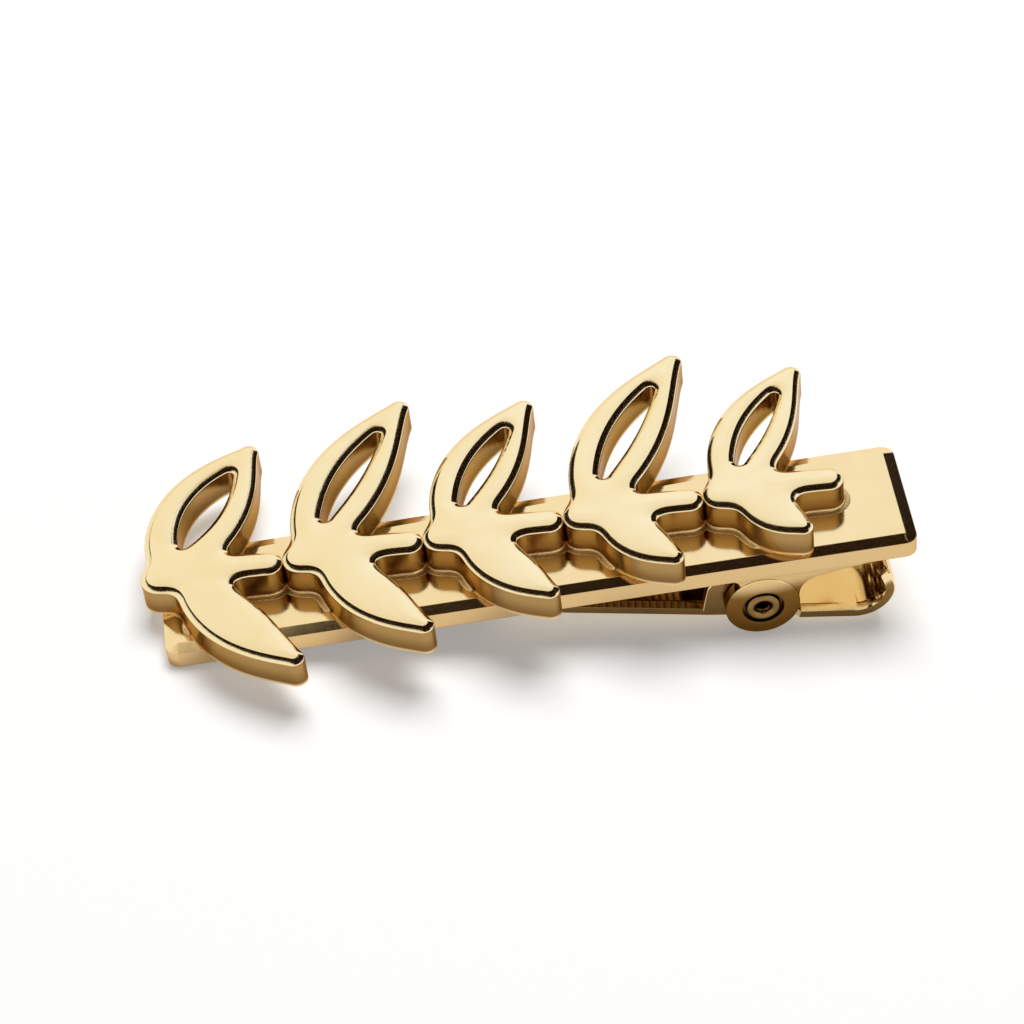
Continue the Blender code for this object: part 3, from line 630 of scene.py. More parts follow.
def strip_stations():
    """Middle line of the lever's strip: (x, z, direction, half width, half thickness)."""
    half = LEVER_THICKNESS / 2
    corner = LEVER_CORNER - JAW_LENGTH
    xs = [x for x, z in arc((corner, 0), LEVER_CORNER, 180, 90, CORNER_STEPS)]
    xs += [corner + 1.0, -LEVER_WAIST_REACH - 1.0, -LEVER_WAIST_REACH, 0.0]
    xs += [*np.linspace(LEVER_SHOULDER, LEVER_SHOULDER + LEVER_CORNER / 2, SHOULDER_STEPS + 1)]
    stations = []
    for x in xs:
        thin = max(0.0, LEVER_EDGE_RADIUS - (x + JAW_LENGTH))
        squeeze = drawn_in(LEVER_EDGE_RADIUS, thin)
        stations.append((x, half - LEVER_DROP, 0.0, lever_half_width(x), half - squeeze))
    return stations


def curl_stations():
    """Middle line of the thumb curl: (x, z, direction, half width, half thickness)."""
    half = LEVER_THICKNESS / 2
    width = BAR_MIDLINE - THUMB_INSET
    centre = (CURL_CENTRE, CURL_RADIUS - LEVER_DROP)
    stations = []
    for step, (x, z) in enumerate(arc(centre, CURL_RADIUS - half, -90, 0, CURL_STEPS)):
        stations.append((x, z, 90 * step / CURL_STEPS, width, half))
    lean = math.radians(CURL_LEAN)
    sweep = (CURL_HEIGHT - CURL_RADIUS - half * (1 - math.cos(lean))) / math.sin(lean)
    along = sweep * lean
    for step in range(1, CURL_TIP_STEPS + 1):
        share = step / CURL_TIP_STEPS
        if share > 0.5:
            share = 0.5 + 0.5 * math.sin(math.pi * (share - 0.5))
        over = max(0.0, share * along - along + CURL_TIP_CORNER)
        thin = max(0.0, over - (CURL_TIP_CORNER - LEVER_EDGE_RADIUS))
        turn = lean * share
        stations.append((THUMB_REACH - half - sweep * (1 - math.cos(turn)),
                         centre[1] + sweep * math.sin(turn), 90 + math.degrees(turn),
                         width - drawn_in(CURL_TIP_CORNER, over),
                         half - drawn_in(LEVER_EDGE_RADIUS, thin)))
    return stations


def strip_section(half_width, half_thickness):
    """Cross-section of the strip, with round lower edges and narrow bevels on the upper ones."""
    radius = min(LEVER_EDGE_RADIUS, half_width * 0.9, half_thickness * 0.9)
    drop = min(LEVER_BEVEL_DROP, half_thickness * 0.8)
    width = drop * LEVER_BEVEL_WIDTH / LEVER_BEVEL_DROP
    soft = drop * 0.2
    shoulder = half_thickness - drop
    right = arc((half_width - radius, radius - half_thickness), radius, -90, 0, LEVER_EDGE_STEPS) + [
        (half_width, shoulder - soft),
        (half_width - soft * 0.3, shoulder),
        (half_width - soft * 1.3, shoulder + soft * 0.5),
        (half_width - width + soft, half_thickness - soft * 0.45),
        (half_width - width - soft, half_thickness),
    ]
    return right + [(-across, up) for across, up in reversed(right)]


def lug_outline():
    """Upright lug of the lever, about the hinge axis, with its rounded heel."""
    base = STRIP_TOP - LEVER_THICKNESS / 2
    points = [(-LUG_HEEL_REACH - LUG_HEEL_RADIUS, base)]
    points += arc((-LUG_HEEL_REACH, LUG_HEEL_RISE), LUG_HEEL_RADIUS, *LUG_HEEL_ARC)
    return points + arc((0, 0), LUG_RADIUS, *LUG_ARC) + [(LUG_TOE_REACH, base)]


def lever_mesh():
    """Lever about the hinge axis, with its strip parallel to X."""
    rings = []
    for x, z, turn, half_width, half_thickness in strip_stations() + curl_stations():
        lean_x, lean_z = -math.sin(math.radians(turn)), math.cos(math.radians(turn))
        rings.append([(x + lean_x * up, BAR_MIDLINE + across, z + lean_z * up)
                      for across, up in strip_section(half_width, half_thickness)])
    window = rounded_rectangle(-WINDOW_BACK, WINDOW_FRONT, BAR_MIDLINE - WINDOW_HALF_WIDTH,
                               BAR_MIDLINE + WINDOW_HALF_WIDTH, LEVER_CORNER)
    opening = prism(window, -LEVER_DROP - CUT_MARGIN, 0, across=False)
    strip = combined(lofted(rings), opening, "DIFFERENCE")
    lug = prism(lug_outline(), LUG_INSET, LUG_INSET + LUG_THICKNESS, LUG_EDGE_RADIUS)
    pin = prism(circle((0, 0), PIN_HOLE_RADIUS, PIN_SEGMENTS), -CUT_MARGIN, BAR_WIDTH + CUT_MARGIN)
    return combined(joined_on_both_sides(strip, lug), pin, "DIFFERENCE")


def tangent_angle(target, side):
    """Angle on the coil where a straight leg to target leaves it; side is 1 above, -1 below."""
    return math.atan2(target[1], target[0]) + side * math.acos(COIL_RADIUS / math.hypot(*target))


def spring_route():
    """Centre line of the wire: the bar's leg, the coil, and the lever's leg."""
    bar_end = (SPRING_LEG_LENGTH, HINGE_DEPTH - WIRE_RADIUS - WIRE_SEAT_GAP)
    seat = STRIP_TOP + WIRE_RADIUS + WIRE_SEAT_GAP
    turn = Matrix.Rotation(-lever_angle(), 2)
    knee = turn @ Vector((WINDOW_FRONT, seat))
    lever_end = turn @ Vector((SPRING_LEG_LENGTH, seat))
    start = tangent_angle(bar_end, 1)
    end = tangent_angle(knee, -1) + 2 * math.pi * (COIL_TURNS + 1)
    turns = (end - start) / (2 * math.pi)
    near = BAR_MIDLINE - turns * COIL_PITCH / 2
    far = near + turns * COIL_PITCH
    coil = arc((0, 0), COIL_RADIUS, math.degrees(start), math.degrees(end),
               int(round(turns * COIL_POINTS_PER_TURN)))
    line = [bar_end, *coil, knee, lever_end]
    places = [near, *np.linspace(near, far, len(coil)), far, far]
    return [Vector((x, y, z - HINGE_DEPTH)) for (x, z), y in zip(line, places)]


def spring_mesh():
    curve = drawn_curve("3D", spring_route(), WIRE_RADIUS, WIRE_RESOLUTION)
    curve.use_fill_caps = True
    return closed(evaluated(placed("spring", curve)))


def bowed_line(start, end, bow):
    """Points of a parabola from start to end; bow is its side step as a share of the span."""
    start, end = Vector(start), Vector(end)
    span = end - start
    middle = (start + end) / 2 + Vector((-span.y, span.x)) * bow
    return parabola(start, middle, end, MIDRIB_POINTS)


def stroke_distance(grid, points, radii):
    """Signed distance from each place of a grid to a stroke of changing radius."""
    x, y = grid
    nearest = np.full(x.shape, np.inf)
    for start, end, start_radius, end_radius in zip(points, points[1:], radii, radii[1:]):
        step = end - start
        share = ((x - start.x) * step.x + (y - start.y) * step.y) / step.length_squared
        share = np.clip(share, 0.0, 1.0)
        away = np.hypot(x - start.x - share * step.x, y - start.y - share * step.y)
        nearest = np.minimum(nearest, away - start_radius - share * (end_radius - start_radius))
    return nearest


def filleted_union(first, second):
    """Union of two distance fields with a smooth fillet where they meet."""
    share = np.clip(0.5 + 0.5 * (second - first) / CROTCH_FILLET, 0.0, 1.0)
    return second * (1 - share) + first * share - CROTCH_FILLET * share * (1 - share)


def leaf_distance(grid, midrib, belly, span, first_radius, last_radius, skew, taper):
    """Leaf or slot along a span of a midrib, with its belly's radius near the span's middle."""
    low, high = span
    points, radii = [], []
    for share, point in zip(np.linspace(0, 1, MIDRIB_POINTS), midrib):
        if low <= share <= high:
            place = (share - low) / (high - low)
            swell = math.sin(math.pi * place ** skew) ** taper if 0 < place < 1 else 0.0
            end = first_radius + (last_radius - first_radius) * place
            points.append(point)
            radii.append(end * (1 - swell) + belly * swell)
    return stroke_distance(grid, points, radii)


def sprig_distance(grid, index):
    """Distance field of one sprig, from its stem's start at the origin."""
    stem_end = (SPRIG_PITCH + STEM_OVERLAP - STEM_END_RADIUS, 0)
    stem = bowed_line((STEM_START_RADIUS, 0), stem_end, STEM_ARCH / SPRIG_PITCH)
    radii = np.linspace(STEM_START_RADIUS, STEM_END_RADIUS, MIDRIB_POINTS)
    rise, drop = UPPER_LEAF_RISES[index], LOWER_LEAF_DROPS[index]
    upper_tip = (UPPER_LEAF_ROOT[0] + UPPER_LEAF_LEAN * rise, rise)
    lower_tip = (LOWER_LEAF_ROOT[0] + LOWER_LEAF_LEAN * drop, -drop)
    upper = bowed_line(UPPER_LEAF_ROOT, upper_tip, UPPER_LEAF_BOW)
    lower = bowed_line(LOWER_LEAF_ROOT, lower_tip, LOWER_LEAF_BOW)
    leaf = leaf_distance(grid, upper, UPPER_LEAF_BELLIES[index], *LEAF_FORM)
    leaf = np.maximum(leaf, -leaf_distance(grid, upper, UPPER_SLOT_RADII[index], *SLOT_FORM))
    low_leaf = leaf_distance(grid, lower, LOWER_LEAF_BELLY + LOWER_LEAF_BELLY_SHARE * drop, *LEAF_FORM)
    return filleted_union(filleted_union(stroke_distance(grid, stem, radii), low_leaf), leaf)


def slope_at(field, points, nudge=0.01):
    """Gradient of a field at an array of points."""
    x, y = points[:, 0], points[:, 1]
    return np.stack([(field((x + nudge, y)) - field((x - nudge, y))) / (2 * nudge),
                     (field((x, y + nudge)) - field((x, y - nudge))) / (2 * nudge)], axis=1)


def zero_lines(values, xs, ys):
    """Closed lines where a field on a grid changes sign, one list of points each."""
    places, links = {}, {}
    negative = values < 0

    def crossing(first, second):
        share = values[first] / (values[first] - values[second])
        row, column = first + share * np.subtract(second, first)
        places[first, second] = (xs[0] + column * OUTLINE_GRID, ys[0] + row * OUTLINE_GRID)
        return first, second

    count = negative[:-1, :-1] + 0 + negative[:-1, 1:] + negative[1:, :-1] + negative[1:, 1:]
    for row, column in zip(*np.nonzero((count > 0) & (count < 4))):
        a, b, c, d = (row, column), (row, column + 1), (row + 1, column + 1), (row + 1, column)
        cut = [crossing(near, far) for near, far in ((a, b), (b, c), (d, c), (a, d))
               if negative[near] != negative[far]]
        for first, second in zip(cut[::2], cut[1::2]):
            links.setdefault(first, []).append(second)
            links.setdefault(second, []).append(first)
    lines, used = [], set()
    for start in links:
        if start in used:
            continue
        line, here = [], start
        while here is not None:
            used.add(here)
            line.append(places[here])
            here = next((key for key in links[here] if key not in used), None)
        lines.append(line)
    return lines


def evenly_spaced(line):
    """Points of a closed line, about OUTLINE_STEP apart along it."""
    points = np.array(line + line[:1])
    lengths = np.hypot(*np.diff(points, axis=0).T)
    along = np.concatenate([[0.0], np.cumsum(lengths)])
    count = max(FEWEST_OUTLINE_POINTS, int(round(along[-1] / OUTLINE_STEP)))
    places = np.linspace(0.0, along[-1], count, endpoint=False)
    return np.stack([np.interp(places, along, points[:, axis]) for axis in range(2)], axis=1)


def blurred(values):
    """Twice each value of a closed line, with its two neighbours added."""
    return np.roll(values, 1, axis=0) + 2 * values + np.roll(values, -1, axis=0)


def unit(vectors):
    return vectors / np.hypot(*vectors.T)[:, None]


def rim_lines(index):
    """Outlines of one sprig, settled onto its field's zero line, and their outward directions."""
    margin = UPPER_LEAF_BELLIES[index]
    xs = np.arange(-margin, SPRIG_PITCH + 2 * margin, OUTLINE_GRID)
    ys = np.arange(-LOWER_LEAF_DROPS[index] - margin, UPPER_LEAF_RISES[index] + margin, OUTLINE_GRID)

    def field(grid):
        return sprig_distance(grid, index) + OUTLINE_TRIM

    settled = []
    for line in zero_lines(field(np.meshgrid(xs, ys)), xs, ys):
        points = evenly_spaced(line)
        for _ in range(2):
            slope = slope_at(field, points)
            points = points - slope * (field(points.T) / (slope ** 2).sum(axis=1))[:, None]
        outward = unit(slope_at(field, points))
        for _ in range(2):
            outward = unit(blurred(outward))
        settled.append((points, outward))
    return settled


def sprig_levels():
    """Chamfer and face of a sprig: inset, height and tilt from straight up, in degrees."""
    least, most = SPRIG_CHAMFER_TILTS
    flat, steep = math.radians(least), math.radians(most)
    bow = SPRIG_CHAMFER_WIDTH / (math.sin(steep) - math.sin(flat))
    edge_inset = SPRIG_EDGE_RADIUS * (1 - math.sin(steep))
    centre = SPRIG_TOP - bow * math.cos(flat)
    low = centre + (bow - SPRIG_EDGE_RADIUS) * math.cos(steep)
    edge = (SPRIG_EDGE_RADIUS, SPRIG_EDGE_RADIUS, low,
            np.linspace(90, most, SPRIG_EDGE_RINGS + 1)[:-1])
    chamfer = (bow, edge_inset + bow * math.sin(steep), centre,
               np.linspace(most, least, SPRIG_CHAMFER_RINGS))
    levels = [(inset - radius * math.sin(math.radians(tilt)),
               height + radius * math.cos(math.radians(tilt)), tilt)
              for radius, inset, height, tilts in (edge, chamfer) for tilt in tilts]
    crest = levels[-1][0]
    levels.append((crest + 0.5 * SPRIG_CREST_ROLL, SPRIG_TOP - 0.1 * SPRIG_CREST_ROLL, least / 2))
    levels.append((crest + SPRIG_CREST_ROLL, SPRIG_TOP, 0))
    return levels


def on_face(places):
    """How far over the bar's flat face each place is, as a share from 0 to 1."""
    x, y = places.T
    room = np.min([y, BAR_WIDTH - y, x + BAR_LEFT, BAR_RIGHT - x], axis=0)
    return smooth(np.clip((room - BAR_BEVEL_WIDTH - SKIRT_REACH) / SKIRT_REACH, 0.0, 1.0))


def roomy(points, direction, reach):
    """How far each point of a closed line can move, less where the line is tight."""
    wished = reach
    for _ in range(REACH_TRIES):
        moved = points + direction * reach[:, None]
        nearest = np.hypot(*(moved[:, None] - points[None]).T).min(axis=0)
        steps = np.roll(moved, -1, axis=0) - moved
        forward = (steps * (np.roll(points, -1, axis=0) - points)).sum(axis=1) > 0
        tight = (nearest < reach * REACH_SLACK) | ~forward | ~np.roll(forward, 1)
        if not tight.any():
            break
        reach = np.where(tight, reach * REACH_CUT, reach)
        reach = np.minimum(reach, blurred(reach) / 4)
    return np.where(reach < wished, reach * TIGHT_SHARE, reach)


def skirt_rows(points, outward, start, reach):
    """Foot of a sprig's wall, from below; over the bar's face a thin skirt of solder runs out."""
    share = on_face(points + np.array(start.xy))
    reach = roomy(points, outward, reach * share)
    rows = []
    for out, rise, tilt, wall_rise in SKIRT_PROFILE:
        free = SPRIG_BASE + wall_rise
        heights = free + (BAR_THICKNESS + rise - free) * share
        lean = np.radians(90 - (90 - tilt) * share)
        normals = np.column_stack([outward * np.sin(lean)[:, None], np.cos(lean)])
        rows.append((points + outward * (out * reach)[:, None], heights, normals))
    return rows


def edge_rows(points, outward, levels):
    """Edge, chamfer and face rim of a sprig, drawn in less where the outline is tight."""
    full = levels[-1][0]
    room = roomy(points, -outward, np.full(len(points), full))[:, None] / full
    rows = []
    for inset, height, tilt in levels:
        lean = math.radians(tilt)
        normals = np.column_stack([outward * math.sin(lean), np.full(len(points), math.cos(lean))])
        rows.append((points - outward * inset * room, np.full(len(points), height), normals))
    return rows


def inside(places, rims):
    """Whether each place lies between closed lines, by the even-odd rule."""
    x, y = places[:, 0, None], places[:, 1, None]
    odd = np.zeros(len(places), dtype=bool)
    for rim in rims:
        here_x, here_y = rim.T
        there_x, there_y = np.roll(rim, -1, axis=0).T
        crosses = (here_y > y) != (there_y > y)
        slope = (there_x - here_x) / np.where(there_y == here_y, 1.0, there_y - here_y)
        odd ^= (crosses & (x < here_x + slope * (y - here_y))).sum(axis=1) % 2 == 1
    return odd


def filled(rims, grid=()):
    """Triangles between closed lines: the corners' places, the lines' own first, and the threes."""
    edges, start = [], 0
    for rim in rims:
        edges += [(start + here, start + (here + 1) % len(rim)) for here in range(len(rim))]
        start += len(rim)
    spots = [Vector(place) for line in (*rims, grid) for place in line]
    found = delaunay_2d_cdt(spots, edges, [], 0, FILL_TOLERANCE)
    places = np.array([tuple(place) for place in found[0]])
    corners = np.array(found[2])
    return places, corners[inside(places[corners].mean(axis=1), rims)]


def crowned_face(index, rims):
    """Triangles of a sprig's face: its places, how far each normal leans outward, and corners."""
    rim_places = np.concatenate(rims)

    def depth(places):
        return np.hypot(*(places[:, None] - rim_places[None]).T).min(axis=0)

    xs, ys = (np.arange(axis.min(), axis.max(), CROWN_GRID) for axis in rim_places.T)
    grid = np.stack([axis.ravel() for axis in np.meshgrid(xs, ys)], axis=1)
    grid = grid[inside(grid, rims)]
    grid = grid[depth(grid) > CROWN_GRID / 2]
    places, corners = filled(rims, grid)
    lean = np.sin(np.radians(CROWN_TILT)) * np.exp(-depth(places) / CROWN_REACH)
    slope = slope_at(lambda spots: sprig_distance(spots, index), places)
    return places, unit(slope) * lean[:, None], corners


def sprig_mesh(index):
    """One cast sprig in the row frame, with normals that follow its profile exactly."""
    start = Vector((index * SPRIG_PITCH - BRANCH_START, BAR_MIDLINE + STEM_OFFSET, 0))
    levels = sprig_levels()
    lines = rim_lines(index)
    longest = max(len(points) for points, outward in lines)
    bm = bmesh.new()
    normals, foot_verts, foot_lines, face_verts, face_lines = [], [], [], [], []
    for points, outward in lines:
        reach = SKIRT_REACH if len(points) == longest else SKIRT_REACH_IN_SLOT
        rows = skirt_rows(points, outward, start, reach) + edge_rows(points, outward, levels)
        rings = []
        for places, heights, tilted in rows:
            rings.append([bm.verts.new(start + Vector((*place, height)))
                          for place, height in zip(places, heights)])
            normals += [tuple(normal) for normal in tilted]
        join_rings(bm, rings)
        foot_verts += rings[0]
        foot_lines.append(rows[0][0])
        face_verts += rings[-1]
        face_lines.append(rows[-1][0])
    for corner in filled(foot_lines)[1]:
        bm.faces.new([foot_verts[here] for here in corner[::-1]])
    places, leans, corners = crowned_face(index, face_lines)
    for place in places[len(face_verts):]:
        face_verts.append(bm.verts.new(start + Vector((*place, SPRIG_TOP))))
        normals.append((0.0, 0.0, 1.0))
    bm.verts.index_update()
    for corner in corners:
        bm.faces.new([face_verts[here] for here in corner])
    bmesh.ops.recalc_face_normals(bm, faces=bm.faces)
    for vertex, (east, north) in zip(face_verts, leans):
        normals[vertex.index] = (east, north, math.sqrt(1 - east ** 2 - north ** 2))
    mesh = mesh_from("sprig", bm)
    mesh.shade_smooth()
    turn = BAR_FRAME.to_quaternion().to_matrix()
    loops = []
    for polygon in mesh.polygons:
        foot = polygon.normal.z < FOOT_FACING
        for vertex in polygon.vertices:
            loops.append(turn @ (polygon.normal if foot else Vector(normals[vertex])))
    mesh.transform(BAR_FRAME)
    mesh.normals_split_custom_set(loops)
    return mesh


def linked(tree, kind, inputs, **settings):
    """New shader node with its settings, and its inputs set to values or linked to sockets."""
    node = tree.nodes.new("ShaderNode" + kind)
    for name, value in settings.items():
        setattr(node, name, value)
    for name, value in inputs.items():
        socket = node.inputs[name]
        if isinstance(value, bpy.types.NodeSocket):
            tree.links.new(value, socket)
        else:
            socket.default_value = (*value, 1.0) if socket.type == "RGBA" else value
    return node


def number(tree, operation, *values):
    """Result of a sum, product or the like."""
    return linked(tree, "Math", dict(enumerate(values)), operation=operation).outputs["Value"]


def vector(tree, operation, *values, output="Vector"):
    return linked(tree, "VectorMath", dict(enumerate(values)), operation=operation).outputs[output]


def coordinate(tree, output):
    return linked(tree, "TexCoord", {}).outputs[output]


def ranged(tree, value, start, end, low=0.0, high=1.0, rise="LINEAR"):
    """Value that goes from low to high as another goes from start to end."""
    inputs = {"Value": value, "From Min": start, "From Max": end, "To Min": low, "To Max": high}
    return linked(tree, "MapRange", inputs, interpolation_type=rise).outputs["Result"]


def eased(tree, value, start, end):
    """Value's smooth rise from 0 at start to 1 at end."""
    return ranged(tree, value, start, end, rise="SMOOTHSTEP")


def mixed(tree, factor, first, second):
    """Colour that runs from first to second with a 0 to 1 factor."""
    return linked(tree, "Mix", {"Factor": factor, 6: first, 7: second}, data_type="RGBA").outputs[2]


def noise(tree, per_mm, detail, stretch=(1, 1, 1)):
    """Noise with about per_mm features in a millimetre, fewer along a stretched axis."""
    scale = [share / MM for share in stretch]
    place = vector(tree, "MULTIPLY", coordinate(tree, "Object"), scale)
    return linked(tree, "TexNoise", {"Vector": place, "Scale": per_mm, "Detail": detail}).outputs["Fac"]


def measured(tree, output, line):
    """How far a texture coordinate reaches along a line."""
    return vector(tree, "DOT_PRODUCT", coordinate(tree, output), line, output="Value")


def facing_share(tree, low, high):
    """Rise from 0 to 1 as a surface's lean to the bar's front goes from low to high."""
    return eased(tree, measured(tree, "Normal", BAR_UP), low, high)


def side_share(tree, low, high):
    """Rise from 0 to 1 as a surface's lean to either side goes from low to high."""
    return eased(tree, number(tree, "ABSOLUTE", measured(tree, "Normal", BAR_ACROSS)), low, high)


def height_share(tree, low, high):
    """0 at the height low over the bar's back face, in mm, and 1 at the height high."""
    back = BAR_FRAME.to_translation().dot(BAR_UP)
    return eased(tree, measured(tree, "Object", BAR_UP), back + low * MM, back + high * MM)


def axis_share(tree, low, high):
    """0 at the distance low from the hinge axis, in mm, and 1 at the distance high."""
    away = vector(tree, "SUBTRACT", coordinate(tree, "Object"), HINGE)
    radius = vector(tree, "LENGTH", vector(tree, "MULTIPLY", away, (1.0, 0.0, 1.0)), output="Value")
    return eased(tree, radius, low * MM, high * MM)


def thumb_share(tree, low, high):
    """Share of the bar's underside that lies past the hinge, over the lever's curl."""
    hinge = HINGE.dot(BAR_ALONG)
    past = eased(tree, measured(tree, "Object", BAR_ALONG), hinge + low * MM, hinge + high * MM)
    return number(tree, "MULTIPLY", facing_share(tree, *UNDERSIDES), past)


def wall_height_share(tree, low, high):
    """Height share of the walls alone."""
    return number(tree, "MULTIPLY", facing_share(tree, *WALLS), height_share(tree, low, high))


def relief(tree, height, strength, depth, under=None):
    """Bump of a height in millimetres, on the bump under it."""
    inputs = {"Height": height, "Strength": strength, "Distance": depth * MM}
    if under is not None:
        inputs["Normal"] = under
    return linked(tree, "Bump", inputs).outputs["Normal"]


def new_material(name):
    material = bpy.data.materials.new(name)
    material.use_nodes = True
    return material, material.node_tree


def finish_metal(tree, colour, roughness, normal):
    """Give the material's own shader a metal's looks."""
    inputs = tree.nodes["Principled BSDF"].inputs
    inputs["Metallic"].default_value = 1.0
    tree.links.new(colour, inputs["Base Color"])
    tree.links.new(roughness, inputs["Roughness"])
    tree.links.new(normal, inputs["Normal"])


def gold(name, shades, tones=(), has_skin=False, waves=WAVE_STRENGTH):
    """Polished gold plate with fine pits and polishing waves.

    Each tone is (share function, where it starts and is full, colour and roughness). Most tones paint
    shade onto the places they cover, and one paints light under the bar over the lever's curl.
    """
    material, tree = new_material(name)
    pale, deep, roughness = shades
    colour = mixed(tree, ranged(tree, noise(tree, *SHADE_NOISE), *NOISE_SPAN), pale, deep)
    grain = noise(tree, *GRAIN_NOISE)
    gloss = ranged(tree, grain, *NOISE_SPAN, roughness * (1 - GLOSS_SPREAD),
                   roughness * (1 + GLOSS_SPREAD))
    for share_of, limits, (tone, tone_roughness) in tones:
        share = share_of(tree, *limits)
        colour = mixed(tree, share, colour, tone)
        gloss = ranged(tree, share, 0.0, 1.0, gloss, tone_roughness)
    normal = relief(tree, noise(tree, *WAVE_NOISE), waves, WAVE_DEPTH)
    normal = relief(tree, grain, GRAIN_STRENGTH, GRAIN_DEPTH, normal)
    if has_skin:
        skin = noise(tree, *SKIN_NOISE)
        normal = relief(tree, skin, height_share(tree, *ON_SKIN), SKIN_DEPTH, normal)
    finish_metal(tree, colour, gloss, normal)
    tree.nodes["Principled BSDF"].inputs["Specular Tint"].default_value = (*GRAZING_TINT, 1.0)
    return material


def steel(name):
    """Drawn spring wire with fine marks along it."""
    material, tree = new_material(name)
    marks = noise(tree, *WIRE_NOISE, WIRE_STRETCH)
    colour = mixed(tree, ranged(tree, marks, *NOISE_SPAN), *WIRE_SHADES)
    normal = relief(tree, marks, WIRE_MARK_STRENGTH, GRAIN_DEPTH)
    finish_metal(tree, colour, ranged(tree, marks, *NOISE_SPAN, *WIRE_ROUGHNESS), normal)
    return material


def piece(name, mesh, matrix, material, body, slot, node, sharp_angle=None):
    """Show a mesh in place of a CAD node, on that node's body."""
    mesh.name = name
    if matrix is not None:
        mesh.transform(matrix)
    mesh.materials.clear()
    mesh.materials.append(material)
    obj = placed(name, mesh)
    if sharp_angle is not None:
        mesh.shade_smooth()
        mesh.set_sharp_from_angle(angle=math.radians(sharp_angle))
        weighted = obj.modifiers.new("weighted normals", "WEIGHTED_NORMAL")
        weighted.keep_sharp = True
        weighted.weight = NORMAL_WEIGHT
    if body is not None:
        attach(obj, body)
    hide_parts(node)
    return obj


def make_clip():
    bar_gold = gold("polished_bar_gold", BAR_GOLD, (
        # Painted shade on the bar's side walls
        (facing_share, WALLS, BAR_WALL_PAINTED_SHADE),
        # Painted shade under the bar, its grip teeth included
        (facing_share, UNDERSIDES, BAR_UNDERSIDE_PAINTED_SHADE),
        # Painted light: over the lever's curl the underside is paler, so that the curl mirrors it paler
        (thumb_share, PAST_HINGE, THUMB_UNDERSIDE_PAINTED_LIGHT),
        # Painted shade on the ear discs, below the bar's back face
        (height_share, UNDER_BAR, EAR_PAINTED_SHADE),
        # Painted shade in the ears' recesses
        (axis_share, IN_RECESS, RECESS_PAINTED_SHADE),
    ))
    branch_gold = gold("cast_branch_gold", CAST_GOLD, (
        # Painted shade on the sprigs' walls
        (facing_share, WALLS, CAST_WALL_PAINTED_SHADE),
        # Painted shade, darker towards the foot of the walls
        (wall_height_share, AT_FOOT, CAST_FOOT_PAINTED_SHADE),
        (height_share, ON_SOLDER, SOLDER),
    ), has_skin=True)
    # The lever's side edges get painted shade
    lever_gold = gold("lever_gold", LEVER_GOLD, ((side_share, EDGES, LEVER_EDGE_PAINTED_SHADE),),
                      waves=LEVER_WAVE_STRENGTH)
    # The rivet is painted dark, and its bore darker still: painted shade
    rivet_gold = gold("rivet_gold", RIVET_GOLD_PAINTED_SHADE, ((axis_share, IN_BORE, RECESS_PAINTED_SHADE),))
    piece("bar_body", face_bar_mesh(), BAR_FRAME, bar_gold, "clip", "polished_gold", "face_bar",
          SHEET_ANGLE)
    piece("rolled_rivet", rivet_mesh(), BAR_FRAME, rivet_gold, "clip", "rivet_gold", "hinge_rivet",
          RIVET_ANGLE)
    piece("sprung_lever", lever_mesh(), LEVER_FRAME, lever_gold, "lever", "lever_gold", "jaw_lever",
          SHEET_ANGLE)
    for index in range(len(UPPER_LEAF_RISES)):
        piece(f"cast_sprig_{index + 1}", sprig_mesh(index), None, branch_gold, "clip", "cast_gold",
              f"leaf_sprig_{index + 1}")
    spring = piece("coil_spring", spring_mesh(), BAR_FRAME, steel("spring_wire"), None, "spring_wire",
                   "torsion_spring", WIRE_ANGLE)
    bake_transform(spring)


def seen_rays(tree):
    """1 where the studio is seen, straight on or in metal or glass, and 0 where it lights."""
    rays = linked(tree, "LightPath", {}).outputs
    straight = number(tree, "MAXIMUM", rays["Is Camera Ray"], rays["Is Transmission Ray"])
    return number(tree, "MAXIMUM", straight, rays["Is Glossy Ray"])


def direction(azimuth, elevation):
    """Unit vector from the clip towards a place round it; azimuth 0 is in front, 90 to the right."""
    a, e = math.radians(azimuth), math.radians(elevation)
    return Vector((math.sin(a) * math.cos(e), -math.cos(a) * math.cos(e), math.sin(e)))


CAMERA_DISTANCE = FRAME_WIDTH * MM * CAMERA_LENS / CAMERA_SENSOR
CAMERA_PLACE = (BAR_FRAME @ Vector(CAMERA_TARGET)
                + direction(CAMERA_AZIMUTH, CAMERA_ELEVATION) * CAMERA_DISTANCE)


def stage_mesh(name, bm, shader_of):
    """Studio piece that shows the shader which shader_of makes."""
    mesh = mesh_from(name, bm)
    material, tree = new_material(name)
    tree.nodes.clear()
    linked(tree, "OutputMaterial", {"Surface": shader_of(tree).outputs[0]})
    mesh.materials.append(material)
    return placed(name, mesh)


def floor_shader(tree):
    """Plain white, with a glow that only eyes and mirrors see."""
    diffuse = linked(tree, "BsdfDiffuse", {"Color": FLOOR_COLOUR})
    glow = linked(tree, "Emission", {"Color": WHITE, "Strength": FLOOR_GLOW})
    both = linked(tree, "AddShader", {0: diffuse.outputs[0], 1: glow.outputs[0]})
    return linked(tree, "MixShader",
                  {0: seen_rays(tree), 1: diffuse.outputs[0], 2: both.outputs[0]})


def make_floor():
    bm = bmesh.new()
    bmesh.ops.create_grid(bm, x_segments=1, y_segments=1, size=FLOOR_HALF_SIZE)
    floor = stage_mesh("studio_floor", bm, floor_shader)


